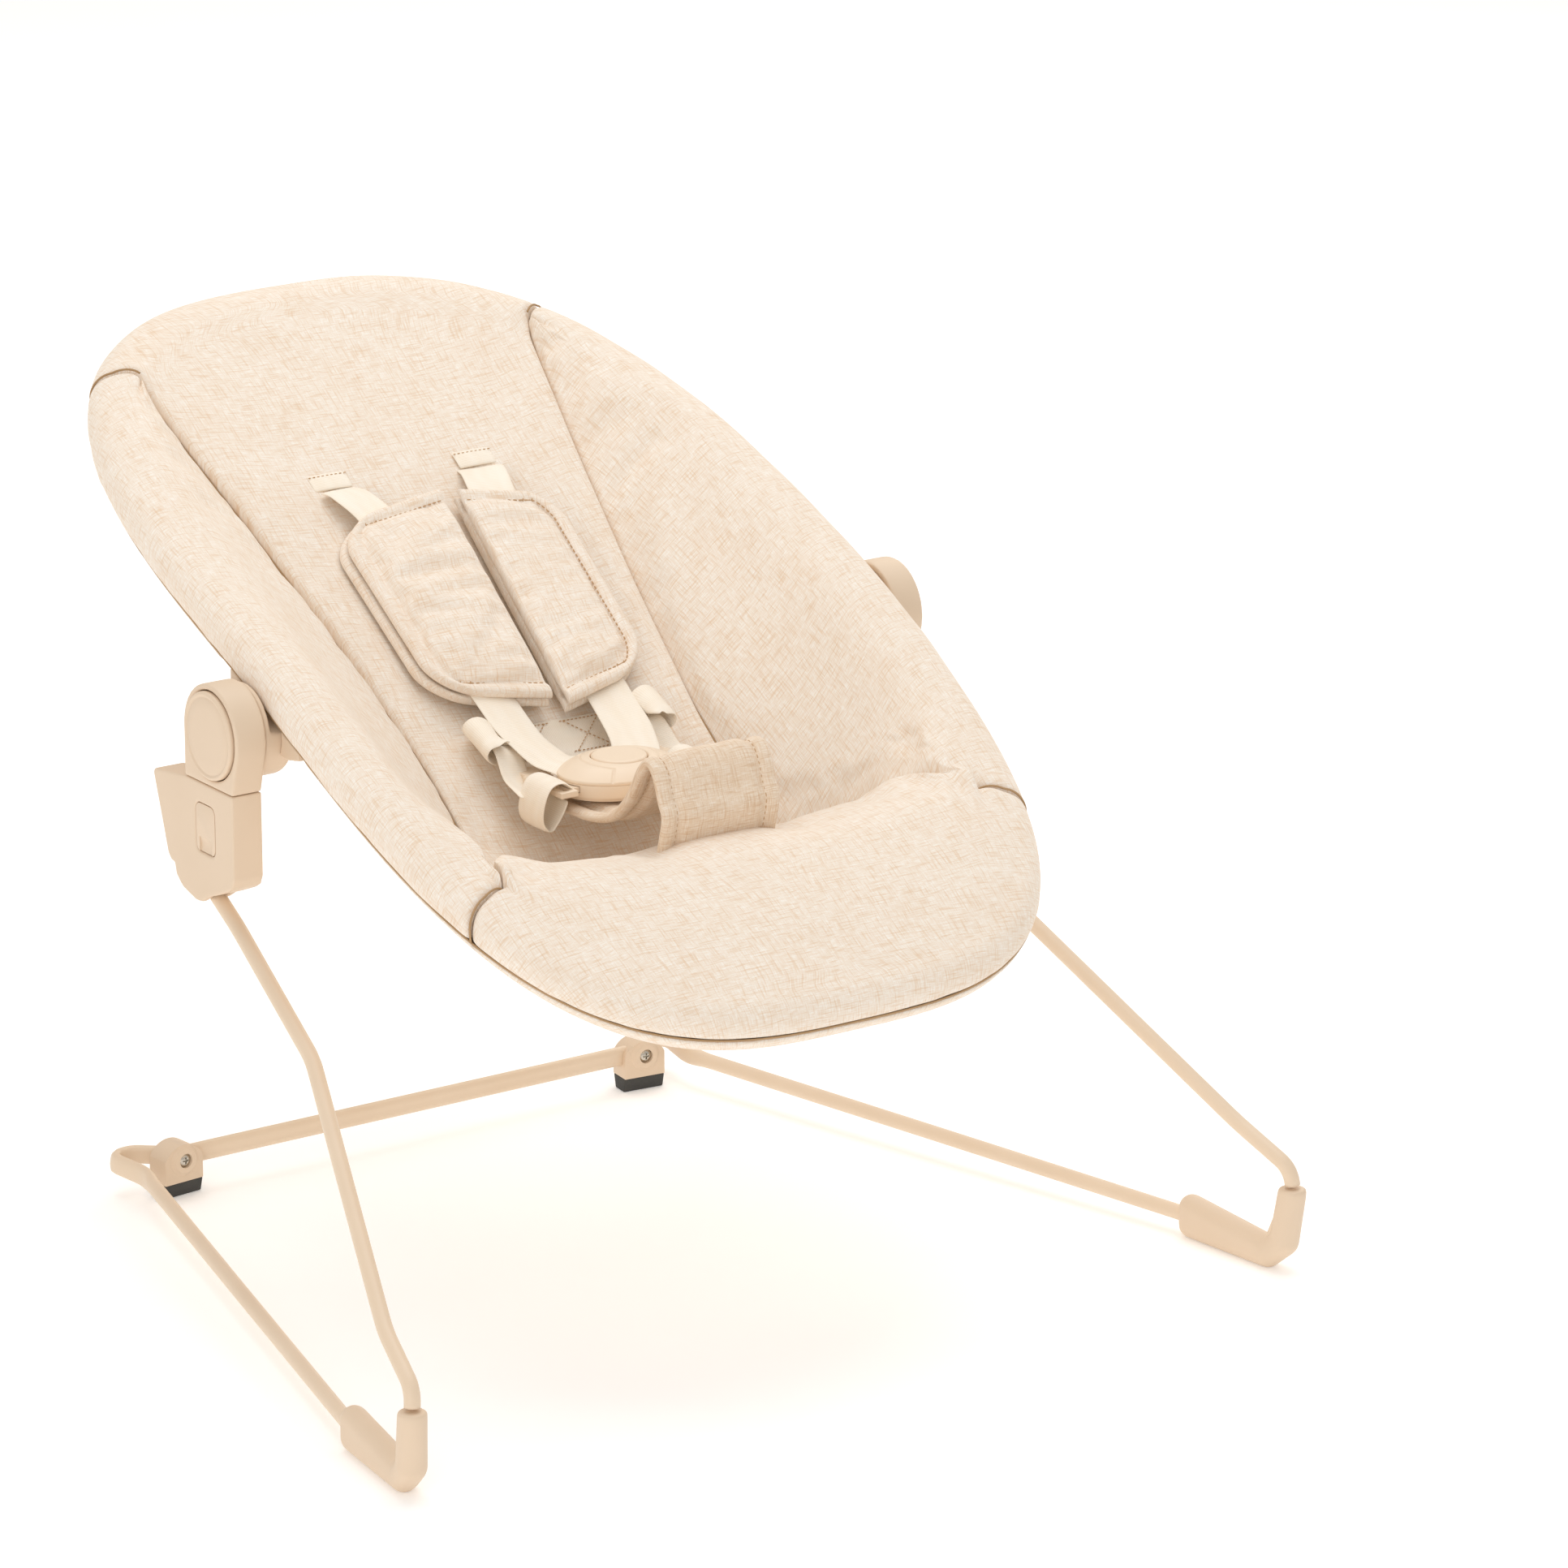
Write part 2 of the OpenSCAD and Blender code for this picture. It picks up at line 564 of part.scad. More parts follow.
// Round button with a rolled rim, and the ring of lock teeth behind it.
module recline_button() {
    outer_x = arm_x + arm_t + 2;
    teeth = 12;
    translate([0, hub_y, hub_z]) rotate([0, 90, 0]) difference() {
        union() {
            translate([0, 0, outer_x - 5]) cylinder(r = cap_r, h = 4);
            translate([0, 0, outer_x - 1]) cylinder(r1 = cap_r, r2 = cap_r - 1, h = 1);
            translate([0, 0, outer_x - 8]) cylinder(r = 18, h = 4);
            for (k = [0 : teeth - 1]) rotate(360 * k / teeth)
                translate([17, -1.6, outer_x - 8]) cube([2.8, 3.2, 4]);
        }
        translate([0, 0, outer_x - 9]) cylinder(r = 15.5, h = 4);
        translate([0, 0, outer_x - 0.6]) difference() {
            cylinder(r = cap_r - 2.2, h = 1);
            cylinder(r = cap_r - 3, h = 1);
        }
    }
}
module left_recline_button() color(plastic) on_side(false) recline_button();
module right_recline_button() color(plastic) on_side(true) recline_button();

module recline_spring() {
    spring([cap_floor + 0.8, hub_y, hub_z], 12.5, 1.2, 3.6, 2);
}
module left_recline_spring() color(steel) on_side(false) recline_spring();
module right_recline_spring() color(steel) on_side(true) recline_spring();

// The disc turns with the seat; its axle runs in the arm's bore. Its top is cut away under the hoop tube.
disc_in = hoop_w / 2;
disc_out = arm_x - 0.4;
disc_r = 24;
disc_full_x = disc_out - 3.6;
function under_tube(y, drop) = hoop_z(y) - tube_r - drop;
module hub_disc() {
    difference() {
        translate([0, hub_y, hub_z]) rotate([0, 90, 0]) rotate_extrude($fn = 96) union() {
            translate([0, disc_in]) square([disc_r - 4, disc_out - disc_in]);
            translate([0, disc_in + 4]) square([disc_r, disc_out - disc_in - 4]);
            intersection() {
                translate([disc_r - 4, disc_in + 4]) circle(4);
                translate([0, disc_in]) square([disc_r, 8]);
            }
            translate([0, disc_out - 1]) square([axle_r, cap_floor - disc_out + 1.4]);
        }
        plate_yz(disc_in - 5, disc_full_x - disc_in + 5)
            polygon([[hub_y - 40, under_tube(hub_y - 40, 1.6)], [hub_y + 40, under_tube(hub_y + 40, 1.6)],
                     [hub_y + 40, hub_z + 60], [hub_y - 40, hub_z + 60]]);
    }
}
module left_hub_disc() color(plastic) on_side(false) hub_disc();
module right_hub_disc() color(plastic) on_side(true) hub_disc();

// Saddle under the hoop tube, following the tube's slope, with a lug that tapers towards the foot end.
bracket_in = hoop_w / 2 - 8;
bracket_out = hoop_w / 2 + 9;
module seat_bracket() {
    difference() {
        plate_yz(bracket_in, bracket_out - bracket_in)
            polygon([[bracket_from, under_tube(bracket_from, 0.7)],
                [bracket_to, under_tube(bracket_to, 0.7)],
                     [bracket_to, under_tube(bracket_to, 12)], [hub_y, under_tube(hub_y, 20)],
                     [bracket_from + 12, under_tube(bracket_from + 12, 13)],
                     [bracket_from, under_tube(bracket_from, 5)]]);
        translate([disc_in - 0.1, hub_y, hub_z]) rotate([0, 90, 0]) cylinder(r = disc_r + 0.1, h = 30);
        for (y = rivet_ys) translate([rivet_x, y, 0]) cylinder(r = 1.65, h = 600);
        for (y = rivet_ys) translate([rivet_x, y, under_tube(y, 30)]) cylinder(r = 3.6, h = 24);
    }
}
rivet_x = disc_in - 4.2;
rivet_ys = [bracket_from + 14, bracket_to - 7];
module left_seat_bracket() color(plastic) on_side(false) seat_bracket();
module right_seat_bracket() color(plastic) on_side(true) seat_bracket();

module rivets() {
    for (y = rivet_ys) translate([rivet_x, y, under_tube(y, 6)]) {
        cylinder(r = 1.6, h = 7.5);
        translate([0, 0, -1.5]) cylinder(r = 3.2, h = 1.5);
    }
}
module bracket_rivets() color(steel) {
    on_side(false) rivets();
    on_side(true) rivets();
}

// ---------- seat ----------

hoop_rings = 72;
module hoop_tube() {
    path = [for (k = [0 : hoop_rings - 1]) hoop_point(360 * k / hoop_rings)];
    color(metal) sweep(path, round_section(tube_r, 10), [0, 0, 1], true);
}

module side_wing() { panel(wing_plans, wing_angles, 8); }
module left_side_wing() color(linen) on_side(false) side_wing();
module right_side_wing() color(linen) on_side(true) side_wing();
module back_panel() color(linen) panel(back_plans, back_angles, 8);
module leg_panel() color(linen) panel(leg_plans, leg_angles, 17, 9);
module back_under_cover() color(linen) cloth(back_plans, back_angles);
module leg_under_cover() color(linen) cloth(leg_plans, leg_angles);
module left_under_cover() color(linen) on_side(false) cloth(wing_plans, wing_angles);
module right_under_cover() color(linen) on_side(true) cloth(wing_plans, wing_angles);

// ---------- harness ----------

// A point of the harness: a place above the seat's surface.
function above_seat(x, y, lift) = [x, y, seat_z(x, y) + lift];

module ribbon(path, w, t, side) { sweep(path, flat_section(w, t), side); }

slot_x = 44;
slot_y = 148;
slot_lift = 7;
function seat_slope(x, y) = atan((seat_z(x, y + 5) - seat_z(x, y - 5)) / 10);
module slot_tape() {
    translate(above_seat(slot_x, slot_y, slot_lift)) rotate([seat_slope(slot_x, slot_y), 0, 0])
        translate([-12.5, -4, 0]) cube([25, 8, 1.2]);
}
module slot_tapes() color(webbing) {
    on_side(true) slot_tape();
    on_side(false) slot_tape();
}

pad_top = [33, 124, 357];
pad_low = [31, 9, 278];
pad_w = 62;
pad_thick = 13;
ear_y = buckle_y + 22;
module shoulder_strap() {
    ribbon(rounded([
        above_seat(slot_x, slot_y - 7, slot_lift + 1),
        pad_top + [3, 9, 5],
        pad_low + [-1, -6, -4],
        [24, ear_y + 6, 268],
        [22, ear_y, 267]
    ], 5, 3), web_w, web_t, [1, 0, 0]);
}
module left_shoulder_strap() color(webbing) on_side(false) shoulder_strap();
module right_shoulder_strap() color(webbing) on_side(true) shoulder_strap();

// The shoulder pad lies along the strap, which runs through its middle.
module shoulder_pad() {
    run = pad_top - pad_low;
    rise = asin(run[2] / norm(run));
    turn = atan2(run[0], run[1]);
    translate((pad_top + pad_low) / 2) rotate([0, 0, -turn]) rotate([rise, 0, 0])
        translate([0, 0, -pad_thick / 2]) linear_extrude(pad_thick) rounded_rect(pad_w, norm(run), 16);
}
module left_shoulder_pad() color(linen) on_side(false) shoulder_pad();
module right_shoulder_pad() color(linen) on_side(true) shoulder_pad();

lap_y = -2;
lap_half = 40;
module lap_tape() {
    color(webbing) ribbon([for (k = [-3 : 3]) above_seat(k * lap_half / 3, lap_y, 8)], web_w, 1.2,
        [0, cos(seat_slope(0, lap_y)), sin(seat_slope(0, lap_y))]);
}

module waist_strap() {
    ribbon(rounded([
        above_seat(lap_half - 8, lap_y, 11),
        [46, -8, 263],
        [51, -17, 260.5]
    ], 5, 3), web_w, web_t, [0, 0.35, 1]);
}
module left_waist_strap() color(webbing) on_side(false) waist_strap();
module right_waist_strap() color(webbing) on_side(true) waist_strap();

// The crotch strap stands up from the leg panel's crest, folds back and runs under the buckle.
crotch_w = 70;
crotch_t = 5;
module crotch_strap() {
    color(linen) ribbon(rounded([
        above_seat(0, -146, 11),
        [0, -130, 283],
        [0, -92, 252],
        [0, buckle_y, 240]
    ], 9, 4), crotch_w, crotch_t, [1, 0, 0]);
}

// ---------- buckle ----------

buckle_low = buckle_z - 17;
split_z = buckle_z - 8.5;
blade_z = buckle_z - 12.5;
blade_t = 3;
button_travel = 2.5;
buckle_tip = 13;
function ellipse_points(rx, ry, sides) =
    [for (k = [0 : sides - 1]) [rx * cos(360 * k / sides), ry * sin(360 * k / sides)]];
module oval(rx, ry, h) { linear_extrude(h) polygon(ellipse_points(rx, ry, 64)); }
module at_buckle(z) { translate([0, buckle_y, z]) children(); }

module buckle_body() {
    color(plastic) difference() {
        union() {
            at_buckle(buckle_low + 2) oval(buckle_rx, buckle_ry, split_z - buckle_low - 2);
            at_buckle(buckle_low) oval(buckle_rx - 2, buckle_ry - 2, 2.5);
        }
        at_buckle(blade_z - gap) translate([-buckle_rx - 1, -10 - gap, 0])
            cube([2 * buckle_rx + 2, 20 + 2 * gap, blade_t + 2 * gap]);
        at_buckle(buckle_low + 2.5) cylinder(r = 6, h = 20);
        for (x = [-7, 7]) at_buckle(buckle_low + 4) translate([x, 0, 0]) rotate([90, 0, 0])
            cylinder(r = 1, h = 40);
    }
}
module buckle_cover() {
    rise = buckle_z - 1 - split_z;
    color(plastic) difference() {
        union() {
            at_buckle(split_z) oval(buckle_rx, buckle_ry, rise - 4);
            at_buckle(split_z + rise - 4) oval(buckle_rx - 2, buckle_ry - 2, 2);
            at_buckle(split_z + rise - 2) oval(buckle_rx - 6, buckle_ry - 6, 1.2);
            at_buckle(split_z + rise - 1) cylinder(r = button_r + 2.2, h = 1);
        }
        at_buckle(split_z - 1) cylinder(r = button_r + gap, h = 20);
    }
}
module buckle_button() {
    color(plastic) difference() {
        at_buckle(split_z + button_travel + 0.3) union() {
            cylinder(r = button_r, h = buckle_z - split_z - button_travel - 1.1);
            translate([0, 0, buckle_z - split_z - button_travel - 1.1])
                cylinder(r1 = button_r, r2 = button_r - 0.8, h = 0.8);
        }
        at_buckle(split_z + button_travel) cylinder(r = 5, h = 2);
    }
}
module buckle_spring() {
    color(steel) at_buckle(buckle_low + 3.2) rotate([0, -90, 0])
        spring([0, 0, 0], 4, 0.8, split_z - buckle_low - 4, 3);
}

// A tongue has a blade inside the buckle and an ear outside it with bars for the two straps.
module tongue() {
    at_buckle(blade_z) difference() {
        union() {
            translate([buckle_tip, -10, 0]) cube([buckle_rx - buckle_tip + 4, 20, blade_t]);
            translate([buckle_rx + 1, -15, 0]) cube([10, 36, blade_t]);
            translate([buckle_rx - 13, buckle_ry - 1, 0]) cube([15, 8, blade_t]);
            translate([buckle_rx - 13 + 10, 14, 0]) cube([12, 18, blade_t]);
        }
        translate([buckle_rx + 4, -12, -1]) cube([3.4, 24, blade_t + 2]);
        translate([0, 0, -1]) oval(buckle_rx + gap, buckle_ry + gap, 0.5);
        translate([buckle_tip + 5, 0, -1]) cylinder(r = 3, h = blade_t + 2);
    }
}
module left_buckle_tongue() color(plastic) on_side(false) tongue();
module right_buckle_tongue() color(plastic) on_side(true) tongue();

// The end of the waist strap, round the bar of the tongue.
module waist_loop() {
    bar_x = buckle_rx + 9;
    at_buckle(blade_z + blade_t / 2) ribbon(rounded([
        [bar_x - 3, 0, 2.8],
        [bar_x + 6, 0, 2.8],
        [bar_x + 10, 0, -8],
        [bar_x + 2, 0, -16]
    ], 4, 3), web_w - 2, web_t, [0, 1, 0]);
}
module left_waist_loop() color(webbing) on_side(false) waist_loop();
module right_waist_loop() color(webbing) on_side(true) waist_loop();

left_floor_runner();
right_floor_runner();
rear_crossbar();
left_foot_bracket();
right_foot_bracket();
left_rubber_pad();
right_rubber_pad();
bracket_screws();
left_front_sleeve();
right_front_sleeve();
left_upper_leg();
right_upper_leg();
left_socket();
right_socket();
left_latch_spring();
right_latch_spring();
left_release_button();
right_release_button();
left_hinge_arm();
right_hinge_arm();
left_recline_button();
right_recline_button();
left_recline_spring();
right_recline_spring();
left_hub_disc();
right_hub_disc();
left_seat_bracket();
right_seat_bracket();
bracket_rivets();
hoop_tube();
back_panel();
left_side_wing();
right_side_wing();
leg_panel();
back_under_cover();
left_under_cover();
right_under_cover();
leg_under_cover();
slot_tapes();
left_shoulder_strap();
right_shoulder_strap();
left_shoulder_pad();
right_shoulder_pad();
lap_tape();
left_waist_strap();
right_waist_strap();
crotch_strap();
buckle_body();
buckle_cover();
buckle_button();
buckle_spring();
left_buckle_tongue();
right_buckle_tongue();
left_waist_loop();
right_waist_loop();
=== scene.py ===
"""Looks of a reclining baby bouncer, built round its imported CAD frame.

Lengths are in millimetres while a shape is worked out, and become metres in its mesh.
+Z is up, -Y the foot end and +X the right side seen from the foot end.
"""
import math

import bmesh
import bpy
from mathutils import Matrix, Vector, noise
from mathutils.bvhtree import BVHTree


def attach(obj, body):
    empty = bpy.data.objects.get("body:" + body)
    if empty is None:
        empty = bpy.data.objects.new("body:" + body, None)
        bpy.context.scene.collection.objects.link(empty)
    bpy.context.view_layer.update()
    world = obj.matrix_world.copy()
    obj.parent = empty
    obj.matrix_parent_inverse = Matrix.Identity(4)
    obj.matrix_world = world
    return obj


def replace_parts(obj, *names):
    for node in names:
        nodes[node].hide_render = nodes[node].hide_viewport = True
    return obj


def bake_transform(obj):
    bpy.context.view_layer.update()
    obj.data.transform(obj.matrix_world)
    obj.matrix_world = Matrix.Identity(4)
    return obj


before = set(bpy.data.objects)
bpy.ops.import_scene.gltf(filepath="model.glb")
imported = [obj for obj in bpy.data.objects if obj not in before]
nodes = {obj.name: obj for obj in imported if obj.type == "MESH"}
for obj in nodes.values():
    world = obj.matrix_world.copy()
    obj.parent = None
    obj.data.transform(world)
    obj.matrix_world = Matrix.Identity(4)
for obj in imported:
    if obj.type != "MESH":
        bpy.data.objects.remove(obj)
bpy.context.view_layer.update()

MM = 0.001

# ---------- driving sizes, as in the CAD design ----------
HOOP_W, HOOP_L, HOOP_MID_Y = 342.0, 522.0, 7.5
HEAD_SQUARE, FOOT_SQUARE = 2.85, 3.2
TUBE_R = 7.0
KNEE_Z, KNEE_Y, KNEE_ROUND = 309.0, -30.0, 60.0
HEAD_SLOPE, FOOT_SLOPE = 0.38, 0.56
BOWL_DEPTH, BOWL_Y, CREST_LEN = 92.0, -45.0, 82.0
PAD_T, ROLL_T = 11.0, 9.0
SEAM_HALF_W, LEG_SEAM_Y = 83.0, -62.0
CLOTH_T = 1.6
ROLL_OUT, ROLL_SIDE, ROLL_IN = TUBE_R + ROLL_T, TUBE_R + 5.5, TUBE_R + 0.9
ROLL_START, ROLL_END = 150.0, -19.0
INSET = -ROLL_OUT * math.cos(math.radians(ROLL_START))
RIM_RISE = ROLL_OUT * math.sin(math.radians(ROLL_START))
HEAD_Y = HOOP_MID_Y + HOOP_L / 2 - INSET
BRACKET_FROM, BRACKET_TO = -44.0, 20.0
ROD_R = 4.0
FRONT_X, MID_X, REAR_X = 260.0, 211.0, 145.0
FRONT_Y, REAR_Y, BOUNCE_Z = -274.0, 148.0, 47.0
HUB_Y, HUB_Z = -3.5, 298.0
ARM_X, ARM_T, CAP_R = 189.0, 17.0, 22.4
CROSSBAR_Z = 20.0
BUCKLE_Y, BUCKLE_Z, BUCKLE_RX, BUCKLE_RY, BUTTON_R = -55.0, 266.0, 33.0, 26.0, 14.2
WEB_W, WEB_T = 25.0, 1.6


# ---------- small helpers ----------
def lerp(a, b, t):
    return a + (b - a) * t


def spread(a, b, steps):
    return [lerp(a, b, k / steps) for k in range(steps + 1)]


def signed_power(v, p):
    return math.copysign(abs(v) ** p, v)


def smooth_step(a, b, v):
    t = min(1.0, max(0.0, (v - a) / (b - a)))
    return t * t * (3 - 2 * t)


def hex_colour(code):
    """Linear RGBA of an sRGB hex colour."""
    channels = [int(code[k:k + 2], 16) / 255 for k in (1, 3, 5)]
    return [c / 12.92 if c <= 0.04045 else ((c + 0.055) / 1.055) ** 2.4 for c in channels] + [1.0]


def circle(sides):
    """Cosine and sine of even steps round a full turn."""
    return [(math.cos(2 * math.pi * k / sides), math.sin(2 * math.pi * k / sides)) for k in range(sides)]


def sided(points, sign):
    """Points as they are, or mirrored to the left when sign is -1."""
    return [Vector((sign * p[0], p[1], p[2])) for p in points]


def rounded_path(points, reach, steps=6):
    """A path whose inner corners are rounded over the given reach."""
    points = [Vector(p) for p in points]
    path = [points[0]]
    for before, corner, after in zip(points, points[1:], points[2:]):
        start = corner + (before - corner).normalized() * reach
        end = corner + (after - corner).normalized() * reach
        path += [lerp(lerp(start, corner, t), lerp(corner, end, t), t) for t in spread(0, 1, steps)]
    return path + [points[-1]]


def even_path(points, step):
    """Points a fixed step apart along a path."""
    points = [Vector(p) for p in points]
    out, carry = [points[0].copy()], 0.0
    for a, b in zip(points, points[1:]):
        length = (b - a).length
        place = step - carry
        while place < length:
            out.append(lerp(a, b, place / length))
            place += step
        carry = length - (place - step)
    out.append(points[-1].copy())
    return out


def curve_path(points, step=3.0):
    """A smooth Catmull-Rom path through points of any dimension, roughly a step apart."""
    points = [Vector(p) for p in points]
    ends = [points[0] * 2 - points[1]] + points + [points[-1] * 2 - points[-2]]
    path = []
    for a, b, c, d in zip(ends, ends[1:], ends[2:], ends[3:]):
        count = max(2, round((Vector(c[:3]) - Vector(b[:3])).length / step))
        for k in range(count):
            t = k / count
            path.append(0.5 * (2 * b + (c - a) * t + (2 * a - 5 * b + 4 * c - d) * t * t
                               + (3 * b - a - 3 * c + d) * t ** 3))
    return path + [points[-1]]


# ---------- meshes ----------
def add_object(name, data):
    new = bpy.data.objects.new(name, data)
    bpy.context.scene.collection.objects.link(new)
    return new


def shade_smooth(mesh):
    mesh.polygons.foreach_set("use_smooth", [True] * len(mesh.polygons))


def edit_mesh(mesh, change):
    """Opens the mesh for change(shape) and writes it back."""
    shape = bmesh.new()
    shape.from_mesh(mesh)
    change(shape)
    shape.to_mesh(mesh)
    shape.free()


def evaluated_mesh(piece):
    return bpy.data.meshes.new_from_object(piece.evaluated_get(bpy.context.evaluated_depsgraph_get()))


def baked(piece):
    """The piece with its modifiers applied."""
    piece.data = evaluated_mesh(piece)
    piece.modifiers.clear()
    shade_smooth(piece.data)
    return piece


def make_piece(name, points, faces, material, uvs=None):
    """A smooth-shaded piece from points in millimetres; uvs are metres along the cloth, one a point."""
    mesh = bpy.data.meshes.new(name)
    mesh.from_pydata([Vector(p) * MM for p in points], [], faces)
    if uvs:
        layer = mesh.uv_layers.new(name="cloth")
        for loop in mesh.loops:
            layer.data[loop.index].uv = uvs[loop.vertex_index]
    shade_smooth(mesh)
    mesh.materials.append(material)
    return add_object(name, mesh)


def face_outwards(piece):
    edit_mesh(piece.data, lambda shape: bmesh.ops.recalc_face_normals(shape, faces=shape.faces))
    return piece


def grid_uvs(rows):
    """Metres along and across a grid of points, so that a weave keeps its scale on it."""
    middle = len(rows[0]) // 2
    along = [0.0]
    for a, b in zip(rows, rows[1:]):
        along.append(along[-1] + (Vector(b[middle]) - Vector(a[middle])).length * MM)
    uvs = []
    for place, row in zip(along, rows):
        across = [0.0]
        for a, b in zip(row, row[1:]):
            across.append(across[-1] + (Vector(b) - Vector(a)).length * MM)
        uvs += [(place, v) for v in across]
    return uvs


def shell(name, top, bottom, material, uvs=None):
    """A closed piece between two matching grids of points."""
    rows, cols = len(top), len(top[0])
    size = rows * cols
    faces = []
    for r in range(rows - 1):
        for c in range(cols - 1):
            a, b, d, e = r * cols + c, r * cols + c + 1, (r + 1) * cols + c + 1, (r + 1) * cols + c
            faces += [(a, b, d, e), (size + a, size + e, size + d, size + b)]
    edge = (list(range(cols)) + [r * cols + cols - 1 for r in range(1, rows)]
            + [(rows - 1) * cols + c for c in range(cols - 2, -1, -1)]
            + [r * cols for r in range(rows - 2, 0, -1)])
    for a, b in zip(edge, edge[1:] + edge[:1]):
        faces.append((a, size + a, size + b, b))
    points = [p for row in top + bottom for p in row]
    return face_outwards(make_piece(name, points, faces, material, uvs or grid_uvs(top) + grid_uvs(bottom)))


def loft(name, rings, material, closed=False):
    """A closed piece through a row of rings with the same number of points."""
    count = len(rings[0])
    faces = []
    spans = list(zip(range(len(rings)), range(1, len(rings))))
    if closed:
        spans.append((len(rings) - 1, 0))
    for r, s in spans:
        for k in range(count):
            n = (k + 1) % count
            faces.append((r * count + k, r * count + n, s * count + n, s * count + k))
    if not closed:
        faces += [tuple(range(count - 1, -1, -1)),
                  tuple(range((len(rings) - 1) * count, len(rings) * count))]
    points = [p for ring in rings for p in ring]
    return face_outwards(make_piece(name, points, faces, material, grid_uvs(rings)))


def tube_rings(path, section_at):
    """Rings along a path; section_at(share) gives the flat section there."""
    rings = []
    last = len(path) - 1
    u = Vector((0, 0, 1))
    for k, point in enumerate(path):
        tangent = (path[min(k + 1, last)] - path[max(k - 1, 0)]).normalized()
        u = (u - tangent * u.dot(tangent)).normalized()
        v = tangent.cross(u)
        rings.append([point + u * x + v * y for x, y in section_at(k / last)])
    return rings


def round_section(radius, sides=24):
    return [(radius * c, radius * s) for c, s in circle(sides)]


def oval_section(width, height, power):
    return [(width / 2 * signed_power(c, power), height / 2 * signed_power(s, power))
            for c, s in circle(24)]


# ---------- materials ----------
def add_node(tree, kind, inputs=None, **settings):
    """Adds a node; an input is a value, or another node's output to link."""
    new = tree.nodes.new(kind)
    for key, value in settings.items():
        setattr(new, key, value)
    for key, value in (inputs or {}).items():
        if isinstance(value, bpy.types.NodeSocket):
            tree.links.new(value, new.inputs[key])
        else:
            new.inputs[key].default_value = value
    return new


def new_material(name, **shader):
    """A material with a Principled shader whose own sockets hold the constant values."""
    material = bpy.data.materials.new(name)
    material.use_nodes = True
    surface = material.node_tree.nodes["Principled BSDF"]
    for key, value in shader.items():
        surface.inputs[key.replace("_", " ")].default_value = value
    return material, material.node_tree, surface


def link(tree, output, target):
    tree.links.new(output, target)


def finish_surface(tree, surface, colour, height, strength, depth_mm):
    """Gives the shader its colour, and relief from a height."""
    link(tree, colour, surface.inputs["Base Color"])
    bump = add_node(tree, "ShaderNodeBump", {
        "Height": height, "Strength": strength, "Distance": depth_mm * MM})
    link(tree, bump.outputs["Normal"], surface.inputs["Normal"])


def thread_field(tree, cloth, across_mm, along_mm, seed):
    """Noise drawn out into threads: across_mm thick and about along_mm long."""
    mapping = add_node(tree, "ShaderNodeMapping", {
        "Vector": cloth, "Location": (seed, seed * 0.7, 0),
        "Scale": (1 / (across_mm * MM), 1 / (along_mm * MM), 1)})
    return add_node(tree, "ShaderNodeTexNoise", {
        "Vector": mapping.outputs["Vector"], "Scale": 1.0, "Detail": 1.5, "Roughness": 0.55},
        noise_dimensions="2D").outputs["Fac"]


def band(tree, value, low, high, strength=1.0):
    """0 below low, strength above high."""
    return add_node(tree, "ShaderNodeMapRange", {
        "Value": value, "From Min": low, "From Max": high,
        "To Min": 0.0, "To Max": strength}).outputs["Result"]


def mix_colour(tree, factor, a, b):
    node = add_node(tree, "ShaderNodeMix", data_type="RGBA")
    for index, value in ((0, factor), (6, a), (7, b)):
        if isinstance(value, bpy.types.NodeSocket):
            link(tree, value, node.inputs[index])
        else:
            node.inputs[index].default_value = value
    return node.outputs[2]


def linen_melange(name, base, light, tan, seed=0.0):
    """Plain-woven linen and polyester melange: slubby threads of three tones cross at right angles.
    The real threads are 0.4 mm apart; fine ones are drawn 0.55 mm and slubs 0.9 mm thick, to show."""
    material, tree, surface = new_material(
        name, Roughness=0.88, Sheen_Weight=0.22, Sheen_Roughness=0.5, Specular_IOR_Level=0.25)
    surface.inputs["Sheen Tint"].default_value = hex_colour("#FFF6EA")
    cloth = add_node(tree, "ShaderNodeUVMap", uv_map="cloth").outputs["UV"]
    # Across and along in mm, the band of noise that shows, its strength and its tone.
    threads = ((0.55, 5.5, 0.50, 0.72, 0.75, light), (5.5, 0.55, 0.50, 0.72, 0.65, light),
               (0.9, 14, 0.54, 0.72, 0.42, tan), (14, 0.9, 0.54, 0.72, 0.42, tan),
               (28, 28, 0.40, 0.70, 0.08, tan))
    fields, colour = [], hex_colour(base)
    for k, (across_mm, along_mm, low, high, strength, tone) in enumerate(threads):
        fields.append(thread_field(tree, cloth, across_mm, along_mm, seed + k + 1))
        colour = mix_colour(tree, band(tree, fields[k], low, high, strength), colour, hex_colour(tone))
    height = add_node(tree, "ShaderNodeMath", {0: fields[0], 1: fields[1]}, operation="MAXIMUM")
    finish_surface(tree, surface, colour, height.outputs["Value"], 0.45, 0.35)
    return material


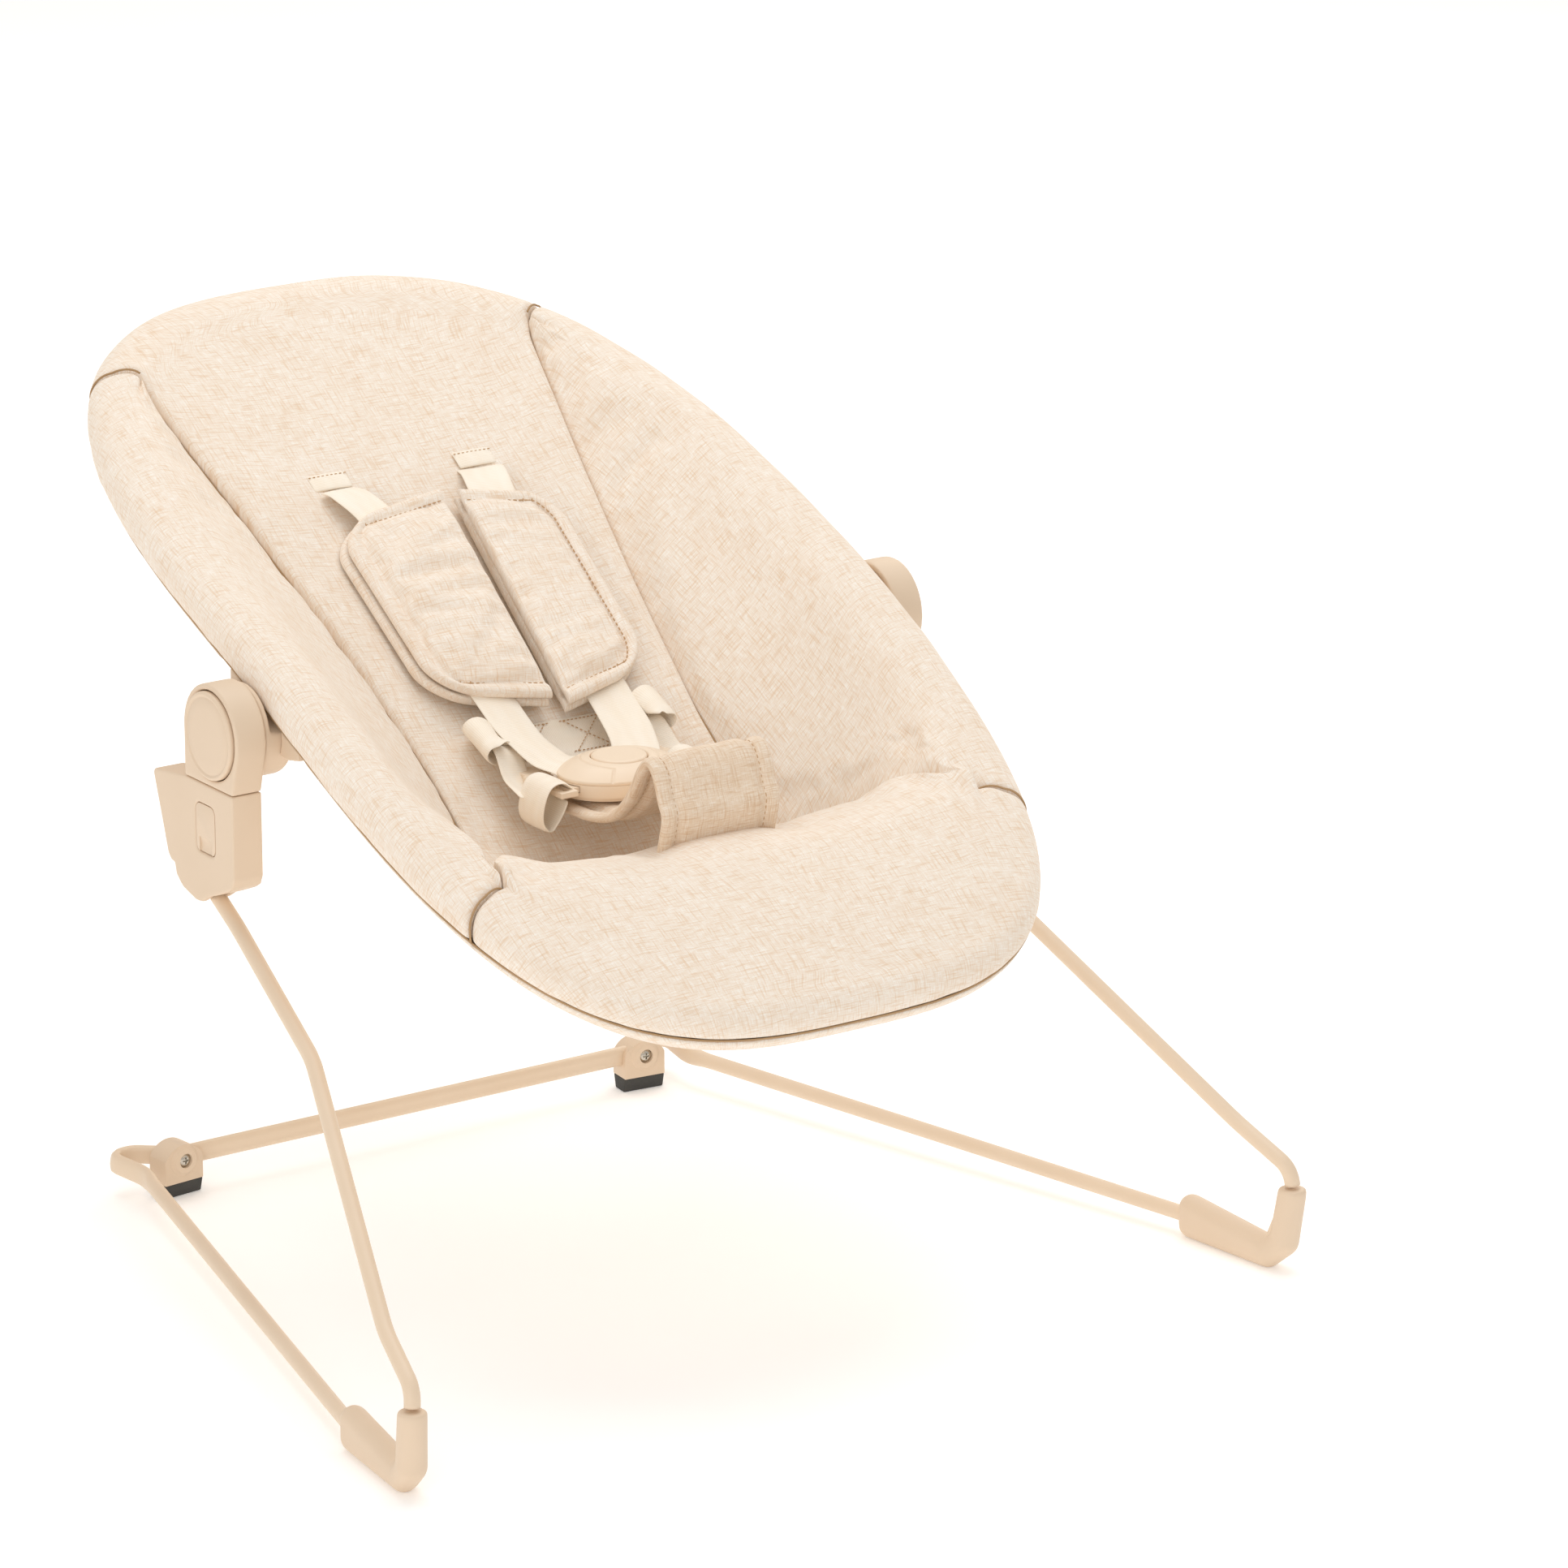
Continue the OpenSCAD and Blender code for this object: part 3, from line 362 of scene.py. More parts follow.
def ribbed_webbing(name, base, shade):
    """Polyester webbing, woven in fine ribs across its width. The real ribs are 0.7 mm apart and are
    drawn 1 mm apart; the flat bright yarn gives a soft satin shine."""
    material, tree, surface = new_material(
        name, Roughness=0.5, Sheen_Weight=0.15, Sheen_Roughness=0.4, Specular_IOR_Level=0.45)
    cloth = add_node(tree, "ShaderNodeUVMap", uv_map="cloth").outputs["UV"]
    rib_mm = 1.0
    rib = add_node(tree, "ShaderNodeTexWave", {
        "Vector": cloth, "Scale": 2 * math.pi / (20 * rib_mm * MM), "Distortion": 0.5, "Detail": 1.0,
        "Detail Scale": 2.0}, wave_type="BANDS", bands_direction="X").outputs["Fac"]
    soft = thread_field(tree, cloth, 30, 8, 3.1)
    colour = mix_colour(tree, band(tree, rib, 0.0, 0.8, 0.5), hex_colour(shade), hex_colour(base))
    colour = mix_colour(tree, band(tree, soft, 0.3, 0.7, 0.5), colour, hex_colour(base))
    finish_surface(tree, surface, colour, rib, 0.35, 0.2)
    return material


def object_noise(tree, size_mm):
    place = add_node(tree, "ShaderNodeTexCoord").outputs["Object"]
    return add_node(tree, "ShaderNodeTexNoise", {
        "Vector": place, "Scale": 1 / (size_mm * MM), "Detail": 2.0}).outputs["Fac"]


def fine_grain(name, base, worn, roughness, grain_mm, depth_mm, strength=0.25, **shader):
    """A moulded, coated or cast surface: slight colour drift and an even grain of grain_mm."""
    material, tree, surface = new_material(name, **shader)
    drift, grain = object_noise(tree, 45), object_noise(tree, grain_mm)
    colour = mix_colour(tree, band(tree, drift, 0.35, 0.7, 0.6), hex_colour(base), hex_colour(worn))
    rough = add_node(tree, "ShaderNodeMapRange", {
        "Value": grain, "From Min": 0.3, "From Max": 0.7,
        "To Min": roughness - 0.05, "To Max": roughness + 0.07})
    link(tree, rough.outputs["Result"], surface.inputs["Roughness"])
    finish_surface(tree, surface, colour, grain, strength, depth_mm)
    return material


# Warm cream linen melange with pale and tan slubs, soft and matt.
linen = linen_melange("linen_melange", "#F3E4D3", "#FDF8F0", "#E0BC94")
# The same cloth cut on the bias for the crotch strap and its bindings, painted a little deeper in tone as
# shade on the pad, which faces away from the main light.
crotch_linen_painted_shade = linen_melange("bias_cut_linen_painted_shade", "#E9D3BA", "#F6EADB", "#D2AA80", seed=9.0)
# Ivory polyester webbing with a satin shine.
webbing = ribbed_webbing("ivory_polyester_webbing", "#FFF7EA", "#F6E6D0")
# Satin powder coat on bent steel wire: even colour and a faint orange-peel skin.
powder_coat = fine_grain("cream_powder_coated_steel", "#E9D3B9", "#E4CCB0", 0.42, 1.6, 0.03,
                         Specular_IOR_Level=0.5)
# Injection-moulded polypropylene with a fine spark-eroded matt skin.
moulding = fine_grain("cream_moulded_polypropylene", "#E4CDB3", "#E0C8AD", 0.5, 0.5, 0.02, IOR=1.49)
# The buckle's acetal, smoother and slightly lighter than the hinge mouldings.
acetal = fine_grain("cream_moulded_acetal", "#F2DEC6", "#EED8BE", 0.36, 0.6, 0.012, IOR=1.48)
# Soft dark grey rubber with a dusty matt face.
rubber = fine_grain("grey_moulded_rubber", "#43423F", "#3A3937", 0.78, 0.8, 0.05, IOR=1.52)
# Nickel-plated steel, bright with a soft satin turning.
nickel = fine_grain("nickel_plated_steel", "#CFC9BE", "#BFB8AC", 0.26, 0.4, 0.006, Metallic=1.0)
# Bare spring wire, darker and duller than the plated screws.
spring_steel = fine_grain("bare_spring_steel", "#8D8881", "#77726B", 0.34, 0.5, 0.008, Metallic=1.0)
# Polyester sewing thread, two-ply, a shade deeper than the cloth.
thread = fine_grain("tan_sewing_thread", "#C9A47C", "#B98F64", 0.6, 0.25, 0.05, 0.5)
# The same thread where it lies deep in a seam, painted brown as the seam's shadow.
painted_seam_shadow = fine_grain("brown_painted_seam_shadow", "#B8966F", "#A6835B", 0.8, 0.3, 0.05, 0.5)


# ---------- shape of the seat ----------
def square_at(y):
    """How square the hoop's outline is, at the head end or at the foot end."""
    return HEAD_SQUARE if y > HOOP_MID_Y else FOOT_SQUARE


def hoop_z(y):
    u = y - KNEE_Y
    return (KNEE_Z + (HEAD_SLOPE + FOOT_SLOPE) / 2 * u
            + (HEAD_SLOPE - FOOT_SLOPE) / 2 * (math.hypot(u, KNEE_ROUND) - KNEE_ROUND))


def hoop_xy(a):
    n = HEAD_SQUARE if math.sin(a) > 0 else FOOT_SQUARE
    return Vector((HOOP_W / 2 * signed_power(math.cos(a), 2 / n),
                   HOOP_MID_Y + HOOP_L / 2 * signed_power(math.sin(a), 2 / n), 0))


def hoop_out(a):
    n = HEAD_SQUARE if math.sin(a) > 0 else FOOT_SQUARE
    return Vector((signed_power(math.cos(a), 2 - 2 / n) / (HOOP_W / 2),
                   signed_power(math.sin(a), 2 - 2 / n) / (HOOP_L / 2), 0)).normalized()


def hoop_point(a):
    p = hoop_xy(a)
    return Vector((p.x, p.y, hoop_z(p.y)))


def hoop_angle(y):
    """The hoop's angle at a place along Y, on the right side."""
    return math.asin(signed_power((y - HOOP_MID_Y) / (HOOP_L / 2), square_at(y) / 2))


def tube_point(a, r, degrees):
    f = math.radians(degrees)
    return hoop_point(a) + hoop_out(a) * r * math.cos(f) + Vector((0, 0, r * math.sin(f)))


def roll_foot(a):
    return hoop_xy(a) - hoop_out(a) * INSET


def inner_half_w(y):
    """Half the clear width inside the roll."""
    n = square_at(y)
    t = min(1.0, abs((y - HOOP_MID_Y) / (HOOP_L / 2)))
    return max(1.0, HOOP_W / 2 * (1 - t ** n) ** (1 / n) - INSET)


def sag(y):
    if y > BOWL_Y:
        return BOWL_DEPTH * max(0.0, (HEAD_Y - y) / (HEAD_Y - BOWL_Y))
    return BOWL_DEPTH / (1 + ((BOWL_Y - y) / CREST_LEN) ** 4)


def seat_z(x, y):
    """Height of the hollow seat, before its padding."""
    return hoop_z(y) + RIM_RISE - sag(y) * (1 - min(1.0, abs(x) / inner_half_w(y)) ** 3.5)


HEAD_SEAM_A, FOOT_SEAM_A = hoop_angle(219.0), hoop_angle(-171.0)
HEAD_CORNER, LEG_CORNER = roll_foot(HEAD_SEAM_A), roll_foot(FOOT_SEAM_A)


def seam_x(y):
    return SEAM_HALF_W + (HEAD_CORNER.x - SEAM_HALF_W) * (max(0.0, y) / HEAD_CORNER.y) ** 1.3


def leg_seam(x):
    return Vector((x, LEG_SEAM_Y + (LEG_CORNER.y - LEG_SEAM_Y) * (abs(x) / LEG_CORNER.x) ** 3.5, 0))


def wing_seam(q, back_share=0.74):
    if q < back_share:
        y = lerp(HEAD_CORNER.y, LEG_SEAM_Y - 8, q / back_share)
        return Vector((seam_x(y) + SEAM_GAP, y, 0))
    x = lerp(SEAM_HALF_W, LEG_CORNER.x, (q - back_share) / (1 - back_share))
    return leg_seam(x) + Vector((0, SEAM_GAP, 0))


def straight_plan(start, a, cols):
    return [lerp(start, roll_foot(a), j / cols) for j in range(cols)]


# Each panel stops this far short of a seam's middle.
SEAM_GAP = 0.3
WING_ROWS, WING_COLS = 76, 28
BACK_ROWS, BACK_COLS = 46, 48
LEG_ROWS, LEG_COLS = 68, 26
ROLL_STEPS = 12
ROLL = spread(ROLL_START, ROLL_END, ROLL_STEPS)
WING_SLANT = math.radians(38)


def wing_plans():
    shares = spread(0, 1, WING_ROWS)
    top, low = hoop_xy(HEAD_SEAM_A).y - SEAM_GAP, hoop_xy(FOOT_SEAM_A).y + SEAM_GAP
    angles = [hoop_angle(lerp(top, low, q)) for q in shares]
    return [straight_plan(wing_seam(q), a, WING_COLS) for q, a in zip(shares, angles)], angles


def back_plans():
    head = hoop_angle(hoop_xy(HEAD_SEAM_A).y + SEAM_GAP)
    angles = spread(math.pi - head, head, BACK_ROWS)
    plans = []
    for s, a in zip(spread(-1, 1, BACK_ROWS), angles):
        rim = roll_foot(a)
        low = leg_seam(s * SEAM_HALF_W)
        row = []
        for j in range(BACK_COLS):
            t = j / BACK_COLS
            seam_y = lerp(LEG_SEAM_Y - 6, HEAD_CORNER.y, t)
            row.append(Vector((s * (seam_x(seam_y) - SEAM_GAP), lerp(low.y + SEAM_GAP, rim.y, t), 0)))
        plans.append(row)
    return plans, angles


def leg_plans():
    foot = hoop_angle(hoop_xy(FOOT_SEAM_A).y - SEAM_GAP)
    angles = spread(foot, -math.pi - foot, LEG_ROWS)
    starts = [leg_seam(LEG_CORNER.x * (1 - 2 * k / LEG_ROWS)) - Vector((0, SEAM_GAP, 0))
              for k in range(LEG_ROWS + 1)]
    return [straight_plan(start, a, LEG_COLS) for start, a in zip(starts, angles)], angles


def pad_depth(share):
    """How far a panel's underside lies below the seat: thin at both edges, full between them."""
    return PAD_T * (0.45 + 0.55 * (1 - abs(2 * share - 1) ** 2.5))


def fill_share(degrees):
    """How much of the rim's extra filling is left on the way over the roll."""
    return max(0.0, (degrees - 85) / 65)


def pucker(place, distance, seed):
    """Small folds that run out from a seam and fade away from it."""
    fold = (noise.noise(Vector((place / 8.0, seed, 0)))
            + 0.5 * noise.noise(Vector((place / 4.0, seed + 5, 0))))
    return 1.3 * fold * math.exp(-distance / 11.0) * (1 - math.exp(-distance / 2.5))


def soft_wave(x, y, seed, size=42.0, depth=1.2):
    return depth * noise.noise(Vector((x / size, y / size, seed)))


def roll_radius(degrees):
    return lerp(ROLL_SIDE, ROLL_OUT, min(1.0, max(0.0, degrees / 80)))


def crotch_dents(p):
    """The cloth is drawn down round the foot of the crotch strap and bulges behind it."""
    draw = sum(5.0 * math.exp(-((p.x - sign * 40) ** 2 + (p.y + 146) ** 2) / (2 * 9.0 ** 2))
               for sign in (-1, 1))
    return 2.6 * math.exp(-((p.x * 0.5) ** 2 + (p.y + 118) ** 2) / (2 * 13.0 ** 2)) - draw


def cloth_place(p, slant):
    """Where a place on the seat lies along and across its flat cloth; slant turns it up a side wall."""
    rise = seat_z(p.x, p.y) - hoop_z(p.y)
    across = p.x * math.cos(slant) + (rise if p.x > 0 else -rise) * math.sin(slant)
    return Vector((p.y * 1.12, across, 0))


def cover_uvs(plans, angles, roll, wing):
    """Weave coordinates in metres: laid flat on the panel, then carried on round the hoop's roll."""
    slant = WING_SLANT if wing else 0.0
    uvs = []
    for plan, a in zip(plans, angles):
        uvs += [cloth_place(p, slant) * MM for p in plan]
        foot = cloth_place(roll_foot(a), slant)
        out = Vector((hoop_out(a).y, hoop_out(a).x, 0))
        uvs += [(foot + out * ROLL_OUT * math.radians(ROLL_START - f)) * MM for f in roll]
    return [(p.x, p.y) for p in uvs]


def cover_grid(plans, angles, lift, seed, rim_fill):
    """Top and bottom points of a padded panel, from its seam to the rim and over the hoop's roll."""
    cols = len(plans[0])
    top, bottom = [], []
    place = 0.0
    for i, (plan, a) in enumerate(zip(plans, angles)):
        if i:
            place += (plan[cols // 3] - plans[i - 1][cols // 3]).length
        end_distance = min(i, len(plans) - 1 - i) * 6.0
        upper, lower = [], []
        run = (roll_foot(a) - plan[0]).length
        for j, p in enumerate(plan):
            share = j / cols
            rise = lift * (1 - (1 - share) ** 4) + (rim_fill - lift) * share ** 2 + crotch_dents(p)
            fade = smooth_step(0, 0.1, share)
            rise += pucker(place, share * run, seed) + soft_wave(p.x, p.y, seed) * fade
            rise += pucker(p.y * 1.3 + p.x, end_distance, seed + 3) * (0 if end_distance > 40 else 1)
            upper.append(Vector((p.x, p.y, seat_z(p.x, p.y) + rise)))
            lower.append(Vector((p.x, p.y, seat_z(p.x, p.y) - pad_depth(share))))
        for degrees in ROLL:
            fill = rim_fill * fill_share(degrees)
            hem = 1 - smooth_step(ROLL_END, 25, degrees)
            gather = 0.9 * hem * noise.noise(Vector((place / 7.0, seed + 8, 0))) + 0.5 * hem
            wave = soft_wave(place, degrees * 0.4, seed + 2, 30.0, 0.7)
            radius = roll_radius(degrees) + gather + wave
            upper.append(tube_point(a, radius, degrees) + Vector((0, 0, fill)))
            lower.append(tube_point(a, ROLL_IN, degrees))
        top.append(upper)
        bottom.append(lower)
    return top, bottom


# ---------- cloth simulation ----------
SIM_FRAMES = 20


def inflate(piece, free, cap, pressure=4.0, grow=-0.02):
    """Swells a padded piece with Cloth pressure; only the points in free move, and at most cap mm."""
    rest = [v.co.copy() for v in piece.data.vertices]
    pins = piece.vertex_groups.new(name="sewn")
    pins.add([k for k in range(len(rest)) if k not in free], 1.0, "REPLACE")
    sim = piece.modifiers.new("padding", "CLOTH")
    cloth = sim.settings
    cloth.quality = 6
    cloth.mass = 0.15
    cloth.tension_stiffness = cloth.compression_stiffness = 12
    cloth.shear_stiffness = 4
    cloth.bending_stiffness = 0.3
    cloth.use_pressure = True
    cloth.uniform_pressure_force = pressure
    cloth.effector_weights.gravity = 0
    cloth.vertex_group_mass = "sewn"
    cloth.shrink_min = grow
    sim.collision_settings.use_collision = False
    scene = bpy.context.scene
    sim.point_cache.frame_start, sim.point_cache.frame_end = 1, SIM_FRAMES
    for step in range(1, SIM_FRAMES + 1):
        scene.frame_set(step)
    swollen = piece.evaluated_get(bpy.context.evaluated_depsgraph_get())
    moved = [v.co.copy() for v in swollen.to_mesh().vertices]
    swollen.to_mesh_clear()
    piece.modifiers.remove(sim)
    piece.vertex_groups.remove(pins)
    scene.frame_set(1)
    for k in free:
        shift = moved[k] - rest[k]
        if shift.length > cap * MM:
            shift *= cap * MM / shift.length
        piece.data.vertices[k].co = rest[k] + shift


def relax(piece, passes, chosen=None):
    """Eases creases out of the chosen points, or out of them all."""
    def smooth(shape):
        shape.verts.ensure_lookup_table()
        points = [shape.verts[k] for k in chosen] if chosen else shape.verts
        for step in range(passes):
            bmesh.ops.smooth_vert(shape, verts=points, factor=0.5,
                                  use_axis_x=True, use_axis_y=True, use_axis_z=True)
    edit_mesh(piece.data, smooth)


def subdivided(piece):
    """The piece with one subdivision applied."""
    step = piece.modifiers.new("smooth", "SUBSURF")
    step.levels = step.render_levels = 1
    return baked(piece)


def dress(piece, body, slot, *replaced):
    """Names the piece's body, and the CAD nodes that it replaces; the material slot is not used."""
    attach(piece, body)
    if replaced:
        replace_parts(piece, *replaced)
    return piece


def cover_piece(name, node, plans, angles, lift, seed, mirror=False, rim_fill=8.0, cap=4.0):
    """A padded panel from its seam to the rim, held along both and swollen between them."""
    top, bottom = cover_grid(plans, angles, lift, seed, rim_fill)
    if mirror:
        top, bottom = [sided(row, -1) for row in top], [sided(row, -1) for row in bottom]
    piece = shell(name, top, bottom, linen, cover_uvs(plans, angles, ROLL, "wing" in name) * 2)
    rows, cols = len(top), len(top[0])
    free = {r * cols + c for r in range(2, rows - 2) for c in range(2, cols - ROLL_STEPS + 4)}
    inflate(piece, free, cap)
    relax(piece, 22, [k for k in sorted(free) if k % cols > cols - ROLL_STEPS - 9])
    dress(subdivided(piece), "seat", "linen_cloth", node)
    return piece


wings, back, front = wing_plans(), back_plans(), leg_plans()
seat_cover = [
    cover_piece("back_cushion_panel", "back_panel", *back, 8.0, 11.0, cap=3.0),
    cover_piece("right_wing_cushion", "right_side_wing", *wings, 14.0, 23.0),
    cover_piece("left_wing_cushion", "left_side_wing", *wings, 14.0, 31.0, mirror=True),
    cover_piece("leg_cushion_panel", "leg_panel", *front, 20.0, 47.0, rim_fill=11.0),
]


# ---------- cloth under the seat ----------
# Round the hoop's underside in degrees; short beside the hoop's bracket, where it is notched.
UNDER_ANGLES = [-165, -140, -115, -90, -70, -55, -40, -25]
NOTCH_ANGLES = [-165, -163.5, -162, -161, -160, -159, -158, -156]


def under_cover(name, node, plans, angles, mirror=False):
    """The thin cloth under a panel, carried round under the hoop to the edge seam."""
    top, bottom = [], []
    for plan, a in zip(plans, angles):
        near = BRACKET_FROM - 6 < hoop_xy(a).y < BRACKET_TO + 6
        for rows, extra in ((top, 0.0), (bottom, CLOTH_T)):
            flat = [Vector((p.x, p.y, seat_z(p.x, p.y) - pad_depth(j / len(plan)) - 0.8 - extra))
                    for j, p in enumerate(plan)]
            rows.append(flat + [tube_point(a, ROLL_IN + 0.3 + extra + 2.6 * smooth_step(-110, -60, f), f)
                                for f in (NOTCH_ANGLES if near else UNDER_ANGLES)])
    if mirror:
        top, bottom = [sided(row, -1) for row in top], [sided(row, -1) for row in bottom]
    places = cover_uvs(plans, angles, UNDER_ANGLES, mirror or "right" in name)
    piece = dress(shell(name, top, bottom, linen, places * 2), "seat", "linen_cloth", node)


# The painted seam shadow line lies this far above the seat's own surface.
SEAM_DEEP = 0.6


def sunk_seam(name, lines, radius, sides=6):
    """The dark line of a sewn seam, as one piece of thread lying in the valley between two panels, painted
    brown as the seam's shadow.
    """
    points, faces = [], []
    for line in lines:
        rings = tube_rings(line, lambda share: round_section(radius, sides))
        first = len(points)
        for k, ring in enumerate(rings):
            start = len(points)
            points += ring
            if k:
                faces += [(start - sides + j, start - sides + (j + 1) % sides,
                           start + (j + 1) % sides, start + j) for j in range(sides)]
        faces += [tuple(range(first + sides - 1, first - 1, -1)),
                  tuple(range(len(points) - sides, len(points)))]
    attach(face_outwards(make_piece(name, points, faces, painted_seam_shadow)), "seat")


def seat_line(places):
    return [Vector((p.x, p.y, seat_z(p.x, p.y) + SEAM_DEEP)) for p in places]


def cover_seams():
    lines = []
    for sign in (-1, 1):
        lines.append(sided(seat_line([wing_seam(q) for q in spread(0, 1, 90)]), sign))
        for a in (HEAD_SEAM_A, FOOT_SEAM_A):
            over = [tube_point(a, roll_radius(f) - 0.3, f) + Vector((0, 0, 8 * fill_share(f)))
                    for f in spread(ROLL_START, ROLL_END, 30)]
            lines.append(sided(over, sign))
    lines.append(seat_line([leg_seam(x) for x in spread(-SEAM_HALF_W, SEAM_HALF_W, 40)]))
    lines.append([tube_point(a, ROLL_SIDE - 0.7, ROLL_END - 3) for a in spread(0, 2 * math.pi, 360)])
    return lines


# Brown thread in every seam valley and round the edge seam: painted seam shadow.
sunk_seam("cover_painted_seam_shadow", cover_seams(), 0.55)

under_cover("back_lining_cloth", "back_under_cover", *back)
under_cover("right_lining_cloth", "right_under_cover", *wings)
under_cover("left_lining_cloth", "left_under_cover", *wings, mirror=True)
under_cover("leg_lining_cloth", "leg_under_cover", *front)


# ---------- where the harness lies ----------
def cover_tree():
    """The finished cushions as one surface that rays can meet."""
    points, faces = [], []
    for piece in seat_cover:
        start = len(points)
        points += [v.co for v in piece.data.vertices]
        faces += [tuple(start + k for k in p.vertices) for p in piece.data.polygons]
    return BVHTree.FromPolygons(points, faces)


COVER = cover_tree()


def on_cover(x, y, lift=0.0):
    """The place on the finished cushions under (x, y), lifted by a few millimetres."""
    hit = COVER.ray_cast(Vector((x, y, 600)) * MM, Vector((0, 0, -1)))[0]
    z = hit.z / MM if hit else seat_z(x, y)
    return Vector((x, y, z + lift))


# ---------- wires of the base ----------
SIDES = (("left", -1), ("right", 1))
RUNNER_REAR, HOOK_BEND = Vector((169, 138, 17)), Vector((174, 166, 18))
BOUNCE_POINT = Vector((FRONT_X + 2, FRONT_Y, BOUNCE_Z))
ROD_X = ARM_X + ARM_T / 2


def runner_section(share):
    """Round wire that is pressed flat where it hooks into the rear bracket."""
    flat = smooth_step(0.845, 0.875, share)
    return oval_section(lerp(2 * ROD_R, 10.5, flat), lerp(2 * ROD_R, 5.5, flat), lerp(1.0, 0.7, flat))


runner = even_path(rounded_path([
    BOUNCE_POINT - Vector((0, 0, 2.6)), (FRONT_X - 2, FRONT_Y + 14, 7.5), (FRONT_X - 9, -199, 11),
    (MID_X, -34, 14), RUNNER_REAR, HOOK_BEND, (162, 168, 19),
    (REAR_X + 3, REAR_Y + 4.5, CROSSBAR_Z)], 6.5), 3.0)
leg = rounded_path([
    BOUNCE_POINT + Vector((0, 0, 0.3)), (FRONT_X + 1, FRONT_Y + 1, 56), (FRONT_X - 6, FRONT_Y + 36, 72),
    (MID_X, -104, 160), (ROD_X, HUB_Y - 8, HUB_Z - 98), (ROD_X, HUB_Y + 16, HUB_Z - 84),
    (ROD_X, HUB_Y + 28, HUB_Z - 60)], 7.5, 8)
for side, sign in SIDES:
    for name, path, section_at, body, node in (
            ("floor_wire", runner, runner_section, "base", "floor_runner"),
            ("leg_wire", leg, lambda share: round_section(ROD_R), "legs", "upper_leg")):
        rings = [sided(ring, sign) for ring in tube_rings(path, section_at)]
        dress(loft(f"{side}_{name}", rings, powder_coat), body, "painted_wire", f"{side}_{node}")

hoop_rings = [[tube_point(2 * math.pi * k / 144, TUBE_R, 15 * f) for f in range(24)] for k in range(144)]
dress(loft("seat_hoop_tube", hoop_rings, powder_coat, closed=True), "seat", "painted_wire", "hoop_tube")


# ---------- moulded parts, finished from their CAD shapes ----------
def repaint(mesh, material):
    mesh.materials.clear()
    mesh.materials.append(material)


def cad_copy(node, name, material):
    """A merged copy of a CAD node's mesh as a new piece."""
    mesh = nodes[node].data.copy()
    mesh.name = name
    mesh.transform(nodes[node].matrix_world)
    repaint(mesh, material)
    edit_mesh(mesh, lambda shape: bmesh.ops.remove_doubles(shape, verts=shape.verts, dist=0.002 * MM))
    return add_object(name, mesh)


def eased(node, name, material, edge_mm, segments=3, angle=28.0):
    """A CAD part with its sharp edges eased by a small bevel."""
    def ease(shape):
        bmesh.ops.dissolve_limit(shape, angle_limit=math.radians(0.6), verts=shape.verts, edges=shape.edges)
        sharp = [e for e in shape.edges
                 if len(e.link_faces) == 2 and e.calc_face_angle(0) > math.radians(angle)]
        bmesh.ops.bevel(shape, geom=sharp, offset=edge_mm * MM, offset_type="OFFSET", segments=segments,
                        profile=0.5, affect="EDGES", clamp_overlap=True)
    piece = cad_copy(node, name, material)
    edit_mesh(piece.data, ease)
    shade_smooth(piece.data)
    piece.data.set_sharp_from_angle(angle=math.radians(40))
    return piece


def moulded(node, name, material, voxel_mm, passes):
    """A CAD part with all its edges softened, as a moulding's are."""
    piece = cad_copy(node, name, material)
    remesh = piece.modifiers.new("skin", "REMESH")
    remesh.mode = "VOXEL"
    remesh.voxel_size = voxel_mm * MM
    baked(piece)
    relax(piece, passes)
    repaint(piece.data, material)
    return piece


def cap_profile():
    """Recline button: a shallow dished face inside a rolled rim, with a fine groove."""
    face = ARM_X + ARM_T + 2.0
    start = [(face - 8, 15.5), (face - 8, 18.0), (face - 5, 18.2), (face - 5, CAP_R)]
    rim = [(face - 1.4 + 1.4 * math.sin(math.radians(f)), CAP_R - 1.6 + 1.6 * math.cos(math.radians(f)))
           for f in range(0, 91, 15)]
    dish = [(face - 0.25, CAP_R - 2.1), (face - 0.55, CAP_R - 2.5), (face - 0.55, CAP_R - 3.0),
            (face - 0.3, CAP_R - 3.5), (face - 0.25, 14.0), (face - 0.1, 8.0), (face, 3.0), (face, 0.2)]
    return start + rim + dish


# CAD node, new piece, body, slot, way of finishing it and its values.
SIDE_PARTS = (
    ("front_sleeve", "wire_boot", "base", "hinge_plastic", moulded, moulding, 0.9, 7),
    ("foot_bracket", "rear_bracket", "base", "hinge_plastic", eased, moulding, 0.9),
    ("rubber_pad", "rubber_foot", "base", "rubber_foot", eased, rubber, 0.8),
    ("socket", "socket_housing", "legs", "hinge_plastic", moulded, moulding, 0.6, 9),
    ("release_button", "release_key", "release", "hinge_plastic", eased, moulding, 0.3, 2),
    ("hinge_arm", "arm_housing", "arms", "hinge_plastic", moulded, moulding, 0.6, 14),
    ("hub_disc", "turning_hub", "seat", "hinge_plastic", moulded, moulding, 0.8, 5),
    ("seat_bracket", "hoop_saddle", "seat", "hinge_plastic", moulded, moulding, 0.8, 4),
)
for side, sign in SIDES:
    for node, name, body, slot, finish, *values in SIDE_PARTS:
        piece = finish(f"{side}_{node}", f"{side}_{name}", *values)
        dress(piece, f"{side}_release" if body == "release" else body, slot, f"{side}_{node}")
    turned = [[Vector((sign * x, HUB_Y + radius * c, HUB_Z + radius * s)) for c, s in circle(96)]
              for x, radius in cap_profile()]
    dress(loft(f"{side}_recline_cap", turned, moulding), f"{side}_recline", "hinge_plastic",
          f"{side}_recline_button")

